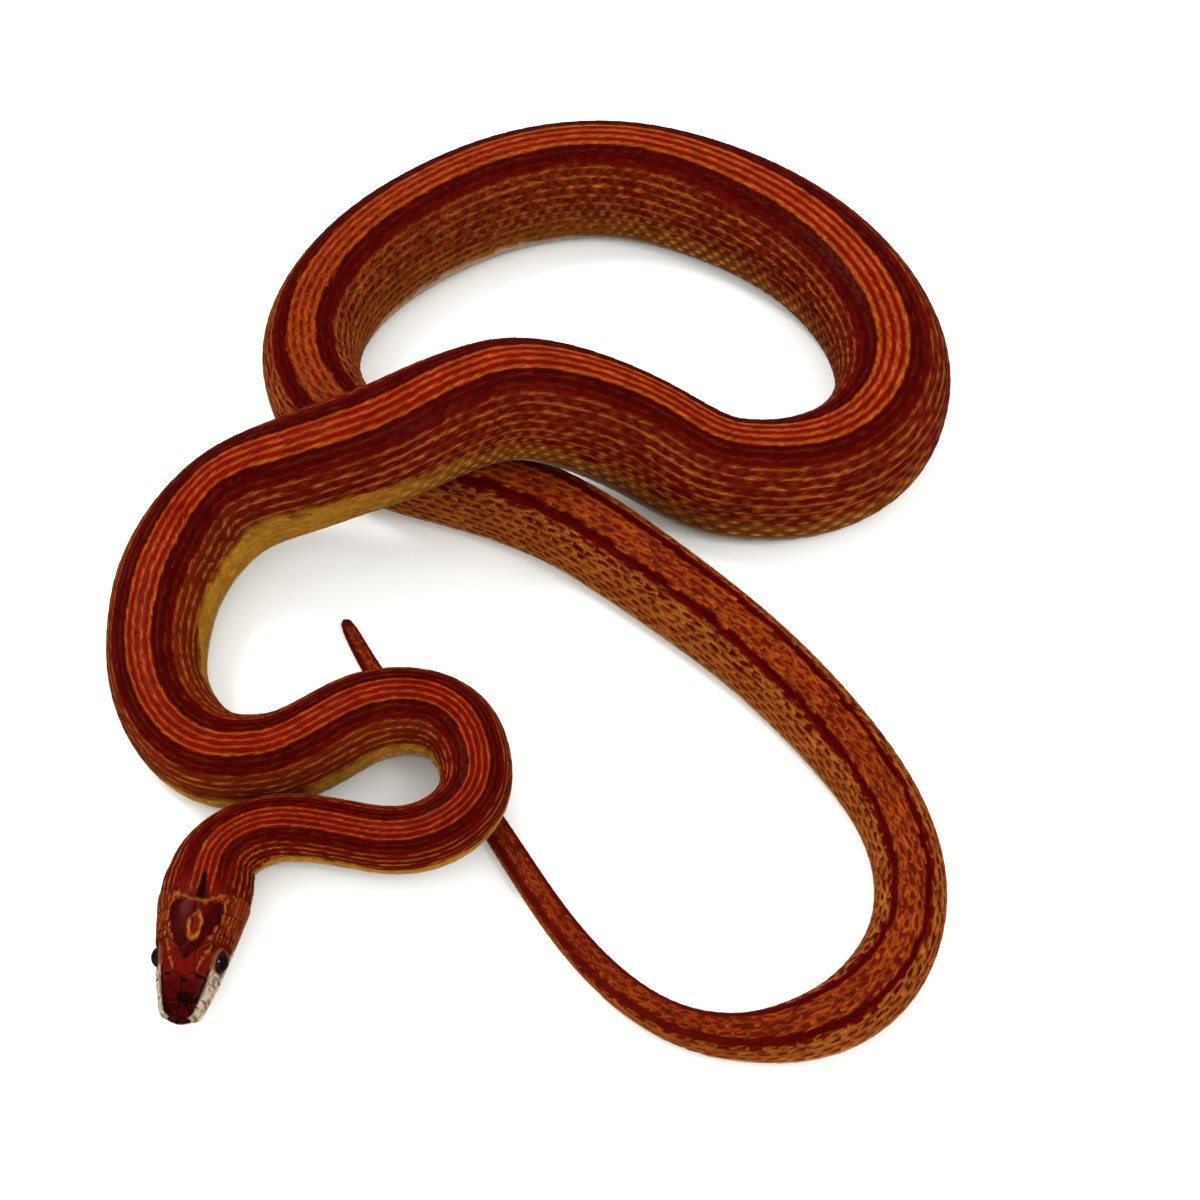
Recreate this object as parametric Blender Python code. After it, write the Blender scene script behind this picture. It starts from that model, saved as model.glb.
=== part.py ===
"""A corn snake at life size, lying in loose bends on the floor.

The body is a tube of changing girth carried along a route over the floor. It is parted
into a head, a lower jaw, two eyes, a neck, lengths of trunk and lengths of tail.
Route, girth and head sizes are in millimetres and become metres where meshes are made.
"""

import math

import bmesh
import bpy
import numpy as np
from mathutils import Vector
from mathutils.bvhtree import BVHTree

MM = 0.001
GAP = 0.3

# The route over the floor, from nape to tail tip, as x and y from the middle of the view
NAPE = (-53.5, -50.2)
HEAD_TURN = math.radians(5.6)
ROUTE = (
    (-49.9, -45.1), (-46.0, -43.6), (-38.0, -43.9), (-30.5, -45.4), (-25.0, -45.8),
    (-20.7, -44.1), (-17.8, -39.9), (-17.8, -34.3), (-20.3, -29.3), (-25.0, -26.8),
    (-31.0, -26.9), (-38.2, -29.5), (-47.6, -32.2), (-54.9, -31.8), (-61.3, -26.4),
    (-65.1, -17.9), (-65.9, -8.5), (-63.4, 3.4), (-56.1, 9.7), (-45.1, 10.3),
    (-34.6, 12.7), (-24.8, 18.3), (-14.7, 22.5), (-4.4, 23.6), (8.0, 22.4),
    (18.0, 19.0), (29.4, 18.2), (40.4, 23.1), (47.3, 35.6), (46.1, 51.1),
    (34.8, 69.7), (19.4, 80.7), (2.5, 86.1), (-14.0, 84.0), (-28.0, 76.7),
    (-41.1, 64.1), (-47.6, 48.2), (-44.3, 33.3), (-35.1, 24.4), (-24.1, 19.8),
    (-8.0, 12.8), (7.3, 1.2), (24.1, -14.8), (34.5, -28.2), (41.8, -42.8),
    (42.7, -53.8), (38.9, -64.1), (31.3, -70.9), (22.0, -73.3), (12.6, -72.2),
    (0.4, -63.9), (-9.1, -51.0), (-21.0, -31.8), (-33.0, -15.8), (-39.4, -3.8),
)
# The middle of the box that the whole animal fills, measured as the route is
BOX_MIDDLE = (-8.27, 9.43)

# Half widths at stations along the floor from the snout
GIRTH = (
    (22, 5.85), (28, 5.15), (35, 4.75), (46, 4.5), (58, 4.75), (70, 5.3), (80, 6.0),
    (95, 6.45), (108, 6.55), (125, 6.95), (150, 8.1), (185, 8.7), (240, 9.1), (297, 9.35), (338, 9.75),
    (360, 9.65), (390, 9.1), (420, 8.05), (455, 7.3), (495, 6.5), (530, 5.65), (558, 4.95),
    (576, 4.95), (586, 4.5), (600, 3.0), (614, 2.35), (650, 1.9), (676, 1.5), (686, 1.25),
    (690.2, 1.0), (691.5, 0.65),
)
# Half height over half width: low behind the head and pressed where the body lies under itself
TALLNESS = (
    (22, 0.67), (28, 0.80), (38, 0.94), (50, 1.0), (430, 1.0), (456, 0.94), (485, 1.0), (700, 1.0),
)
# Height of the belly over the floor: over the tail at the front bend, over the body at the crossing
LIFT = (
    (0, 2.0), (46, 2.0), (60, 4.4), (88, 4.4), (104, 0.0), (146, 0.0), (182, 14.2),
    (203, 14.2), (242, 0.0), (700, 0.0),
)
BELLY_LEVEL = 0.86
BELLY_POWER = 2.7
BACK_POWER = 2.05

# Belly scutes: length over half width, shortest length, step at each hind edge
SCUTE_LENGTH = 0.7
SCUTE_SHORTEST = 2.8
SCUTE_STEP = 0.22
SCUTE_OVERLAP = 0.14
TRUNK_SIDES = 16
TAIL_SIDES = 12

NECK_END = 62.0
VENT = 582.0
LONGEST = 110.0
MOST_TURN = math.radians(62.0)

# The head, measured back from the snout and up from the chin
HEAD_LENGTH = 22.0
HEAD_WIDTH = (
    (0.0, 0.9), (0.35, 2.05), (1.0, 2.75), (2.8, 3.35), (5.5, 4.1), (8.3, 4.75), (11.0, 5.3),
    (14.0, 5.85), (17.0, 6.25), (19.5, 6.25), (22.0, 5.85),
)
HEAD_TOP = (
    (0.0, 3.0), (0.35, 3.7), (1.0, 4.15), (2.8, 4.85), (5.5, 5.7), (8.3, 6.5), (11.0, 7.1),
    (14.0, 7.55), (17.0, 7.75), (19.5, 7.7), (22.0, 7.5),
)
HEAD_BOTTOM = (
    (0.0, 1.6), (0.35, 1.15), (1.0, 0.8), (2.8, 0.4), (5.5, 0.15), (9.0, 0.0), (22.0, 0.0),
)
HEAD_WIDEST = (
    (0.0, 2.3), (1.0, 2.35), (5.5, 2.75), (11.0, 3.3), (17.0, 3.6), (22.0, 3.85),
)
HEAD_SIDES = 28
SNOUT_POWER = 2.9
MOUTH_LINE = (
    (-2.0, 1.6), (0.0, 1.6), (3.0, 1.5), (6.0, 1.6), (9.0, 1.85), (12.0, 2.15), (14.5, 2.2),
    (16.4, 1.85), (17.6, 1.15), (18.4, 0.2), (19.2, -2.0),
)
JAW_NARROWING = 0.97
EYE_BACK = 8.2
EYE_OUT = 3.65
EYE_UP = 4.15
EYE_RADIUS = 1.62
NOSTRIL = (1.55, 3.2)
NOSTRIL_RADIUS = 0.38

# Head plates: depth of their root, rise of their rim and of their middle, longest edge
PLATE_DEPTH = 0.4
RIM_RISE = 0.03
PLATE_RISE = 0.15
PLATE_EDGE = 1.7
SEAM = 0.12
# Outlines on the crown as back and across, for the animal's right and mirrored to its left
CROWN_PLATES = (
    ((0.45, 0.08), (0.6, 1.25), (1.95, 1.6), (2.0, 0.08)),
    ((2.15, 0.08), (2.05, 1.7), (3.4, 2.4), (5.3, 2.55), (5.6, 1.5), (4.85, 0.08)),
    ((5.8, 1.6), (5.55, 2.6), (7.3, 3.4), (9.3, 3.5), (10.1, 2.8), (8.9, 1.35)),
    ((10.05, 0.08), (9.1, 1.45), (10.2, 2.85), (11.7, 3.6), (14.6, 3.1), (15.9, 1.2), (15.4, 0.08)),
)
FRONTAL = ((5.05, 0.0), (5.75, 1.4), (8.6, 1.2), (9.8, 0.0), (8.6, -1.2), (5.75, -1.4))
# Outlines on the cheek as back and height: nasal, loreal, preocular, postoculars and temporals
CHEEK_PLATES = (
    ((0.6, 2.7), (2.2, 2.8), (2.25, 4.0), (0.8, 3.55)),
    ((2.4, 2.95), (4.7, 3.05), (4.7, 4.3), (2.45, 4.1)),
    ((4.85, 3.1), (6.2, 3.0), (6.25, 4.9), (4.9, 4.8)),
    ((9.75, 2.85), (11.1, 3.1), (11.1, 4.1), (10.2, 4.05)),
    ((10.2, 4.2), (11.1, 4.25), (11.1, 5.45), (9.75, 5.5)),
    ((11.25, 3.35), (14.0, 3.8), (14.0, 5.0), (11.25, 4.95)),
    ((14.15, 3.8), (17.0, 3.65), (17.0, 4.9), (14.15, 5.0)),
    ((14.15, 5.15), (17.0, 5.0), (17.0, 6.1), (14.1, 6.2)),
)
ROSTRAL = ((-1.0, 1.2), (1.0, 1.2), (1.25, 2.5), (0.55, 3.25), (-0.55, 3.25), (-1.25, 2.5))
UPPER_LIP_CUTS = (0.9, 2.5, 4.1, 5.8, 7.7, 9.7, 11.9, 14.3, 17.0)
UPPER_LIP_TOP = (
    (0.9, 2.6), (2.5, 2.7), (4.8, 2.95), (7.3, 2.45), (9.2, 2.45), (11.4, 3.15), (14.3, 3.65), (17.0, 3.55),
)
LOWER_LIP_CUTS = (0.9, 2.3, 3.9, 5.7, 7.8, 10.1, 12.6, 15.2)
LOWER_LIP_FOOT = ((0.9, 1.1), (2.3, 0.85), (5.7, 0.66), (16.0, 0.62))
# Outlines under the chin as back and across
CHIN_PLATES = (
    ((2.6, 0.1), (2.6, 1.0), (4.2, 1.75), (6.0, 1.5), (6.3, 0.1)),
    ((6.6, 0.1), (6.4, 1.45), (9.6, 1.1), (10.0, 0.1)),
)


def clear_scene():
    for obj in list(bpy.data.objects):
        bpy.data.objects.remove(obj, do_unlink=True)


def material(name, colour, roughness):
    finish = bpy.data.materials.new(name)
    finish.use_nodes = True
    shader = finish.node_tree.nodes["Principled BSDF"]
    shader.inputs["Base Color"].default_value = (*colour, 1.0)
    shader.inputs["Roughness"].default_value = roughness
    shader.inputs["Metallic"].default_value = 0.0
    return finish


def natural_curve(points, start_slope):
    """Cubic pieces through the points with even bending, leaving along start_slope.

    The second derivatives at the points solve one linear system, as in a drawn spline.
    """
    knots = np.concatenate([[0.0], np.cumsum(np.linalg.norm(np.diff(points, axis=0), axis=1))])
    steps = np.diff(knots)[:, None]
    rises = np.diff(points, axis=0) / steps
    count = len(points)
    system = np.eye(count)
    wanted = np.zeros_like(points)
    system[0, :2] = 2.0, 1.0
    wanted[0] = 6.0 * (rises[0] - start_slope) / steps[0]
    for row in range(1, count - 1):
        before, after = steps[row - 1, 0], steps[row, 0]
        system[row, row - 1 : row + 2] = before, 2.0 * (before + after), after
        wanted[row] = 6.0 * (rises[row] - rises[row - 1])
    return knots, np.linalg.solve(system, wanted)


def sample_curve(points, knots, bends, places):
    """Positions on the cubic pieces at the given places along the chords."""
    piece = np.clip(np.searchsorted(knots, places, side="right") - 1, 0, len(knots) - 2)
    step = (knots[piece + 1] - knots[piece])[:, None]
    after = (places[:, None] - knots[piece][:, None]) / step
    before = 1.0 - after
    straight = before * points[piece] + after * points[piece + 1]
    bent = (before**3 - before) * bends[piece] + (after**3 - after) * bends[piece + 1]
    return straight + bent * step**2 / 6.0


def eased(table, station):
    """Values between the table's rows, eased at each row so that ramps start and end level."""
    stations, values = np.array(table, float).T
    row = np.clip(np.searchsorted(stations, station, side="right") - 1, 0, len(stations) - 2)
    part = np.clip((station - stations[row]) / (stations[row + 1] - stations[row]), 0.0, 1.0)
    return values[row] + (values[row + 1] - values[row]) * part**2 * (3.0 - 2.0 * part)


def flowing(table, station):
    """Values on a smooth curve through the table's rows, with no overshoot between them."""
    stations, values = np.array(table, float).T
    steps = np.diff(stations)
    rises = np.diff(values) / steps
    product = rises[:-1] * rises[1:]
    total = np.where(product > 0.0, rises[:-1] + rises[1:], 1.0)
    middle = np.where(product > 0.0, 2.0 * product / total, 0.0)
    slopes = np.concatenate([rises[:1], middle, rises[-1:]])
    row = np.clip(np.searchsorted(stations, station, side="right") - 1, 0, len(steps) - 1)
    part = np.clip((station - stations[row]) / steps[row], 0.0, 1.0)
    first = (1.0 + 2.0 * part) * (1.0 - part) ** 2 * values[row]
    second = part**2 * (3.0 - 2.0 * part) * values[row + 1]
    leaving = part * (1.0 - part) ** 2 * slopes[row] * steps[row]
    arriving = part**2 * (part - 1.0) * slopes[row + 1] * steps[row]
    return first + second + leaving + arriving


class Route:
    """The way along the floor: a straight head, then the curve, by station from the snout."""

    def __init__(self):
        self.back = np.array([math.sin(HEAD_TURN), math.cos(HEAD_TURN)])
        nape = np.array(NAPE)
        points = np.vstack([nape, np.array(ROUTE)])
        knots, bends = natural_curve(points, self.back)
        places = np.linspace(0.0, knots[-1], 4000)
        curve = sample_curve(points, knots, bends, places)
        snout = nape - self.back * HEAD_LENGTH
        self.points = np.vstack([snout, curve]) - np.array(BOX_MIDDLE)
        runs = np.linalg.norm(np.diff(self.points, axis=0), axis=1)
        self.stations = np.concatenate([[0.0], np.cumsum(runs)])
        self.length = float(self.stations[-1])

    def floor(self, station):
        x = np.interp(station, self.stations, self.points[:, 0])
        y = np.interp(station, self.stations, self.points[:, 1])
        return np.stack([x, y], axis=-1)

    def level(self, station):
        """Height of the section's middle over the floor."""
        return eased(LIFT, station) + BELLY_LEVEL * half_height(station)

    def frame(self, station):
        """The middle of the section with its along, side and up directions, unturned about the length."""
        station = np.atleast_1d(np.asarray(station, float))
        half = np.clip(station - HEAD_LENGTH, 0.02, 0.6)
        ahead = np.clip(station + half, 0.0, self.length)
        behind = np.clip(station - half, 0.0, self.length)
        run = self.floor(ahead) - self.floor(behind)
        rise = eased(LIFT, ahead) - eased(LIFT, behind)
        along = np.column_stack([run, rise])
        along /= np.linalg.norm(along, axis=1)[:, None]
        side = np.column_stack([-along[:, 1], along[:, 0], np.zeros(len(along))])
        side /= np.linalg.norm(side, axis=1)[:, None]
        up = np.cross(along, side)
        middle = np.column_stack([self.floor(station), self.level(station)])
        return middle, along, side, up


def half_width(station):
    return flowing(GIRTH, station)


def half_height(station):
    return half_width(station) * flowing(TALLNESS, station)


def signed_power(value, power):
    return np.sign(value) * np.abs(value) ** power


def body_section(station, sides, step):
    """A loaf: round back, upright flanks and a flat belly lifted by step, as side and up offsets."""
    turn = 2.0 * math.pi * (np.arange(sides) + 0.5) / sides
    outward, upward = np.sin(turn), -np.cos(turn)
    low = upward < 0.0
    power = np.where(low, 2.0 / BELLY_POWER, 2.0 / BACK_POWER)
    wide, tall = half_width(station), half_height(station)
    across = wide * signed_power(outward, power)
    height = tall * signed_power(upward, power)
    belly = -BELLY_LEVEL * tall
    pressed = np.maximum(height, belly)
    reach = np.clip((belly * 0.55 - height) / (0.3 * tall), 0.0, 1.0)
    return across, pressed + step * reach


def ring(route, station, sides, step=0.0, shift=0.0):
    """One section of the body as points in space, shifted along the route by shift."""
    middle, along, side, up = route.frame(station)
    across, height = body_section(station, sides, step)
    offsets = side[0] * across[:, None] + up[0] * height[:, None]
    return middle[0] + along[0] * shift + offsets


def closed_tube(rings):
    """A closed mesh over rings of equal size, with a flat fan at each end, facing outwards."""
    rings = np.asarray(rings)
    count, sides = rings.shape[:2]
    points = np.vstack([rings.reshape(-1, 3), rings[0].mean(axis=0), rings[-1].mean(axis=0)])
    faces = []
    for row in range(count - 1):
        for column in range(sides):
            beside = (column + 1) % sides
            near, far = row * sides, (row + 1) * sides
            faces.append((near + column, near + beside, far + column))
            faces.append((near + beside, far + beside, far + column))
    first, last = count * sides, count * sides + 1
    for column in range(sides):
        beside = (column + 1) % sides
        faces.append((first, beside, column))
        faces.append((last, (count - 1) * sides + column, (count - 1) * sides + beside))
    return points, faces


def mesh_object(name, points, faces, finish=None):
    mesh = bpy.data.meshes.new(name)
    mesh.from_pydata([Vector(point) * MM for point in points], [], faces)
    turned = bmesh.new()
    turned.from_mesh(mesh)
    bmesh.ops.recalc_face_normals(turned, faces=turned.faces)
    turned.to_mesh(mesh)
    turned.free()
    if finish:
        mesh.materials.append(finish)
    mesh.shade_smooth()
    mesh.set_sharp_from_angle(angle=math.radians(35.0))
    obj = bpy.data.objects.new(name, mesh)
    bpy.context.scene.collection.objects.link(obj)
    return obj


def body_length(route, name, start, end, sides, finish):
    """One length of the body between two thin cuts, with stepped belly scutes."""
    middle = 0.5 * (start + end)
    pitch = max(SCUTE_LENGTH * float(half_width(middle)), SCUTE_SHORTEST)
    count = max(2, round((end - start) / pitch))
    edges = np.linspace(start, end, count + 1)
    rings = []
    for row in range(count):
        front, hind = edges[row], edges[row + 1]
        lap = SCUTE_OVERLAP * (hind - front)
        if row == 0:
            rings.append(ring(route, front, sides, SCUTE_STEP, 0.5 * GAP))
        else:
            rings.append(ring(route, front + 0.5 * lap, sides, SCUTE_STEP))
        if row == count - 1:
            rings.append(ring(route, hind, sides, 0.0, -0.5 * GAP))
        else:
            rings.append(ring(route, hind - 0.5 * lap, sides, 0.0))
    return mesh_object(name, *closed_tube(rings), finish)


def tail_tip(route, name, start, sides, finish):
    """The last length of the tail, closing to a blunt horny point."""
    stations = start + (route.length - start) * np.sin(np.linspace(0.0, 0.5 * math.pi, 12))
    rings = [ring(route, stations[0], sides, 0.0, 0.5 * GAP)]
    rings += [ring(route, station, sides) for station in stations[1:-1]]
    tip = route.length - 0.12
    last = ring(route, tip, sides)
    rings.append(last.mean(axis=0) + 0.45 * (last - last.mean(axis=0)))
    return mesh_object(name, *closed_tube(rings), finish)


def cut_stations(route, start, end):
    """Stations between which the body turns and runs no more than the named limits."""
    places = np.arange(start, end, 0.5)
    middle, along, side, up = route.frame(places)
    heading = np.unwrap(np.arctan2(along[:, 1], along[:, 0]))
    slope = np.arcsin(along[:, 2])
    turned = np.concatenate([[0.0], np.cumsum(np.abs(np.diff(heading)) + np.abs(np.diff(slope)))])
    cost = np.maximum.accumulate(turned / MOST_TURN + (places - start) / LONGEST)
    lengths = int(np.ceil(cost[-1]))
    shares = np.arange(lengths) * cost[-1] / lengths
    return [*np.interp(shares, cost, places), end]


def make_body(route, scales, tail_scales):
    neck_cuts = cut_stations(route, HEAD_LENGTH, NECK_END)
    for number, (start, end) in enumerate(zip(neck_cuts, neck_cuts[1:]), 1):
        body_length(route, f"neck_{number}", start, end, TRUNK_SIDES, scales)
    trunk_cuts = cut_stations(route, NECK_END, VENT)
    for number, (start, end) in enumerate(zip(trunk_cuts, trunk_cuts[1:]), 1):
        body_length(route, f"trunk_{number:02d}", start, end, TRUNK_SIDES, scales)
    tail_cuts = cut_stations(route, VENT, route.length)
    for number, (start, end) in enumerate(zip(tail_cuts[:-1], tail_cuts[1:-1]), 1):
        body_length(route, f"tail_{number}", start, end, TAIL_SIDES, tail_scales)
    tail_tip(route, "tail_tip", tail_cuts[-2], TAIL_SIDES, tail_scales)


def head_section(back, sides=HEAD_SIDES):
    """A section of the closed head: flat crown, steep cheeks and a rounded chin."""
    turn = -2.0 * math.pi * np.arange(sides) / sides
    outward, upward = np.sin(turn), np.cos(turn)
    wide = flowing(HEAD_WIDTH, back)
    top = flowing(HEAD_TOP, back)
    bottom = flowing(HEAD_BOTTOM, back)
    level = flowing(HEAD_WIDEST, back)
    crown = 2.0 / (2.1 + (SNOUT_POWER - 2.1) * math.exp(-(((back - 5.0) / 5.0) ** 2)))
    power = np.where(upward > 0.0, crown, 2.0 / 2.7)
    height = np.where(upward > 0.0, top - level, level - bottom)
    return wide * signed_power(outward, power), level + height * signed_power(upward, power)


def in_place(route, points):
    """Head points of back, across and height, in millimetres, carried to their place in space."""
    middle, along, side, up = route.frame(1.0)
    snout = np.append(route.floor(0.0), float(eased(LIFT, 0.0)))
    return snout + np.asarray(points, float) @ np.array([along[0], side[0], (0.0, 0.0, 1.0)])


def whole_head(narrowing=1.0):
    """Head and jaw in one closed mesh of head points, from the snout to the cut at the nape."""
    backs = np.concatenate([[0.0, 0.12, 0.35, 0.7], np.linspace(1.2, HEAD_LENGTH - 0.5 * GAP, 19)])
    rings = []
    for back in backs:
        across, height = head_section(back)
        rings.append(np.column_stack([np.full(HEAD_SIDES, back), narrowing * across, height]))
    return closed_tube(rings)


def prism(outline, half_span):
    """A closed block with a side outline of back and height points, across the whole head."""
    count = len(outline)
    backs, heights = np.array(outline).T
    near = np.column_stack([backs, np.full(count, half_span), heights])
    far = np.column_stack([backs, np.full(count, -half_span), heights])
    faces = [tuple(range(count)), tuple(reversed(range(count, 2 * count)))]
    for corner in range(count):
        beside = (corner + 1) % count
        faces.append((corner, corner + count, beside + count, beside))
    return np.vstack([near, far]), faces


def jaw_space(shift):
    """The outline of what lies below the mouth line, moved by shift along its own normal."""
    line = np.array(MOUTH_LINE)
    slope = np.gradient(line, axis=0)
    slope /= np.linalg.norm(slope, axis=1)[:, None]
    moved = line + shift * np.column_stack([-slope[:, 1], slope[:, 0]])
    return [*map(tuple, moved), (-2.0, -2.5)]


def ball(middle, radius):
    """A closed ball of head points."""
    across, rings = 16, 9
    turn = 2.0 * math.pi * np.arange(across) / across
    tilt = math.pi * np.linspace(0.02, 0.98, rings)
    circles = []
    for angle in tilt:
        level = np.full(across, math.cos(angle))
        reach = math.sin(angle)
        circles.append(np.column_stack([np.cos(turn) * reach, np.sin(turn) * reach, level]))
    points, faces = closed_tube(circles)
    points[-2:] = (0.0, 0.0, 1.0), (0.0, 0.0, -1.0)
    return np.asarray(middle) + radius * points, faces


def cast_line(view, first, second, sign):
    """A start outside the head and a way inwards, for one point of a plate's outline."""
    if view == "crown":
        return (first, sign * second, 20.0), (0.0, 0.0, -1.0)
    if view == "chin":
        return (first, sign * second, -20.0), (0.0, 0.0, 1.0)
    if view == "cheek":
        return (first, sign * 20.0, second), (0.0, -sign, 0.0)
    return (-20.0, sign * first, second), (1.0, 0.0, 0.0)


def laid_on(tree, view, outline, sign, rise):
    """Outline points cast onto the head, each moved out along the normal there by rise."""
    points = []
    for first, second in outline:
        place, normal, index, distance = tree.ray_cast(*map(Vector, cast_line(view, first, second, sign)))
        points.append(place + normal * rise)
    return np.array(points)


def fine_outline(outline):
    """The outline with each edge parted into steps no longer than PLATE_EDGE."""
    points = []
    corners = np.array(outline, float)
    for corner, beside in zip(corners, np.roll(corners, -1, axis=0)):
        steps = max(1, math.ceil(np.linalg.norm(beside - corner) / PLATE_EDGE))
        points += [corner + (beside - corner) * step / steps for step in range(steps)]
    return np.array(points)


def plate(tree, view, outline, sign=1.0):
    """A closed shell that lies on the head within the outline, rooted below its surface."""
    rim = fine_outline(outline)
    middle = rim.mean(axis=0)
    shelf = middle + 0.8 * (rim - middle)
    points = np.vstack([
        laid_on(tree, view, rim, sign, -PLATE_DEPTH),
        laid_on(tree, view, rim, sign, RIM_RISE),
        laid_on(tree, view, shelf, sign, PLATE_RISE),
        laid_on(tree, view, [middle, middle], sign, PLATE_RISE + 0.02),
    ])
    points[-2] = points[: len(rim)].mean(axis=0)
    count = len(rim)
    faces = []
    for column in range(count):
        beside = (column + 1) % count
        for low in (0, count):
            faces.append((low + column, low + beside, low + count + beside, low + count + column))
        faces.append((3 * count, beside, column))
        faces.append((3 * count + 1, 2 * count + column, 2 * count + beside))
    return points, faces


def lip_outlines(cuts, line, other, seam):
    """Outlines along the lip between the mouth line and the other edge, parted at the cuts."""
    outlines = []
    for front, hind in zip(cuts, cuts[1:]):
        ends = np.array([front + 0.5 * seam, hind - 0.5 * seam])
        mouth = flowing(MOUTH_LINE, ends) + line
        edge = flowing(other, ends)
        outlines.append(((ends[0], mouth[0]), (ends[1], mouth[1]), (ends[1], edge[1]), (ends[0], edge[0])))
    return outlines


def upper_plates(tree):
    """All plates above the mouth."""
    lips = lip_outlines(UPPER_LIP_CUTS, -0.4, UPPER_LIP_TOP, SEAM)
    plates = [plate(tree, "crown", FRONTAL), plate(tree, "snout", ROSTRAL)]
    for sign in (1.0, -1.0):
        plates += [plate(tree, "crown", outline, sign) for outline in CROWN_PLATES]
        plates += [plate(tree, "cheek", outline, sign) for outline in (*CHEEK_PLATES, *lips)]
    return plates


def lower_plates(tree):
    """All plates of the jaw."""
    lips = lip_outlines(LOWER_LIP_CUTS, 0.4, LOWER_LIP_FOOT, SEAM)
    plates = []
    for sign in (1.0, -1.0):
        plates += [plate(tree, "cheek", outline, sign) for outline in lips]
        plates += [plate(tree, "chin", outline, sign) for outline in CHIN_PLATES]
    return plates


def apply_boolean(target, operation, helpers, solver="EXACT"):
    """One Boolean with a collection of closed helpers, applied, with the helpers then removed."""
    group = bpy.data.collections.new("helpers")
    for helper in helpers:
        group.objects.link(helper)
    modifier = target.modifiers.new("join", "BOOLEAN")
    modifier.operation = operation
    modifier.operand_type = "COLLECTION"
    modifier.collection = group
    modifier.solver = solver
    graph = bpy.context.evaluated_depsgraph_get()
    result = bpy.data.meshes.new_from_object(target.evaluated_get(graph))
    target.modifiers.remove(modifier)
    target.data = result
    for helper in helpers:
        bpy.data.objects.remove(helper, do_unlink=True)
    bpy.data.collections.remove(group)


def keep_largest(obj):
    """Keeps the closed surface with the most faces, so that no loose crumb is left."""
    whole = bmesh.new()
    whole.from_mesh(obj.data)
    bmesh.ops.triangulate(whole, faces=whole.faces)
    left = set(whole.faces)
    groups = []
    while left:
        stack = [left.pop()]
        group = []
        while stack:
            face = stack.pop()
            group.append(face)
            beside = {other for edge in face.edges for other in edge.link_faces} & left
            left -= beside
            stack.extend(beside)
        groups.append(group)
    groups.sort(key=len)
    loose = [face for group in groups[:-1] for face in group]
    bmesh.ops.delete(whole, geom=loose, context="FACES")
    whole.to_mesh(obj.data)
    whole.free()


def placed(route, name, shape, finish=None):
    """A mesh object from head points and faces."""
    points, faces = shape
    return mesh_object(name, in_place(route, points), faces, finish)


def add_plates(route, target, shape, make_plates):
    tree = BVHTree.FromPolygons([Vector(point) for point in shape[0]], shape[1])
    helpers = [placed(route, "plate", made) for made in make_plates(tree)]
    apply_boolean(target, "UNION", helpers)


def make_head(route, scales):
    upper_shape = whole_head()
    upper = placed(route, "head", upper_shape, scales)
    add_plates(route, upper, upper_shape, upper_plates)
    cutters = [placed(route, "below_upper", prism(jaw_space(0.5 * GAP), 12.0))]
    for sign in (-1.0, 1.0):
        eye_middle = (EYE_BACK, sign * EYE_OUT, EYE_UP)
        cutters.append(placed(route, "socket", ball(eye_middle, EYE_RADIUS + GAP)))
        nostril_middle = (NOSTRIL[0], sign * float(flowing(HEAD_WIDTH, NOSTRIL[0])), NOSTRIL[1])
        cutters.append(placed(route, "nostril", ball(nostril_middle, NOSTRIL_RADIUS)))
    apply_boolean(upper, "DIFFERENCE", cutters)
    keep_largest(upper)


def make_jaw(route, scales):
    lower_shape = whole_head(JAW_NARROWING)
    lower = placed(route, "jaw", lower_shape, scales)
    add_plates(route, lower, lower_shape, lower_plates)
    space = placed(route, "below_lower", prism(jaw_space(-0.5 * GAP), 12.0))
    apply_boolean(lower, "INTERSECT", [space], "MANIFOLD")
    keep_largest(lower)


def make_eyes(route, finish):
    for name, sign in (("eye_left", -1.0), ("eye_right", 1.0)):
        placed(route, name, ball((EYE_BACK, sign * EYE_OUT, EYE_UP), EYE_RADIUS), finish)


def main():
    clear_scene()
    scales = material("scales", (0.32, 0.05, 0.015), 0.4)
    tail_scales = material("tail_scales", (0.25, 0.05, 0.02), 0.4)
    eye_finish = material("eye", (0.01, 0.008, 0.008), 0.08)
    route = Route()
    make_body(route, scales, tail_scales)
    make_head(route, scales)
    make_jaw(route, scales)
    make_eyes(route, eye_finish)


main()
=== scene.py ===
"""A corn snake at life size, lying in loose bends: its skin, scales, head plates and eyes.

Sizes are in millimetres until a mesh is made. A place on the skin is a station along the
body, measured from the snout, and an arc round the section: 0 on the back, 1 and -1 under
the belly. Each surface is worked out as whole arrays from those two.
"""

import math
from types import SimpleNamespace

import bmesh
import bpy
import numpy as np
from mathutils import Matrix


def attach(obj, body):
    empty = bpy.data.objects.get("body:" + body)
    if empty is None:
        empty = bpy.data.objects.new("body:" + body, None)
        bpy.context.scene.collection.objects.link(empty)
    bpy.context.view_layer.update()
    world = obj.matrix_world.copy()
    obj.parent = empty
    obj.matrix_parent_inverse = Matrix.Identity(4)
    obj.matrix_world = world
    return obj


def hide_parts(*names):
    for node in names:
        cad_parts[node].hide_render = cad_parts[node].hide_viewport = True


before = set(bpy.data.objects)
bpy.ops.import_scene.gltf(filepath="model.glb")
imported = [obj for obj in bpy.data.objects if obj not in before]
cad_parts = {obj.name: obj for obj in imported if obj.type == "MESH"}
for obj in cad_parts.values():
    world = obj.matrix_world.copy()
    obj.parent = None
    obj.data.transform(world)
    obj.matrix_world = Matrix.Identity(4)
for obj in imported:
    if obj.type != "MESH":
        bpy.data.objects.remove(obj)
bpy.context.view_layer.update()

MM = 0.001
WELD = 1.0e-7

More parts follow.
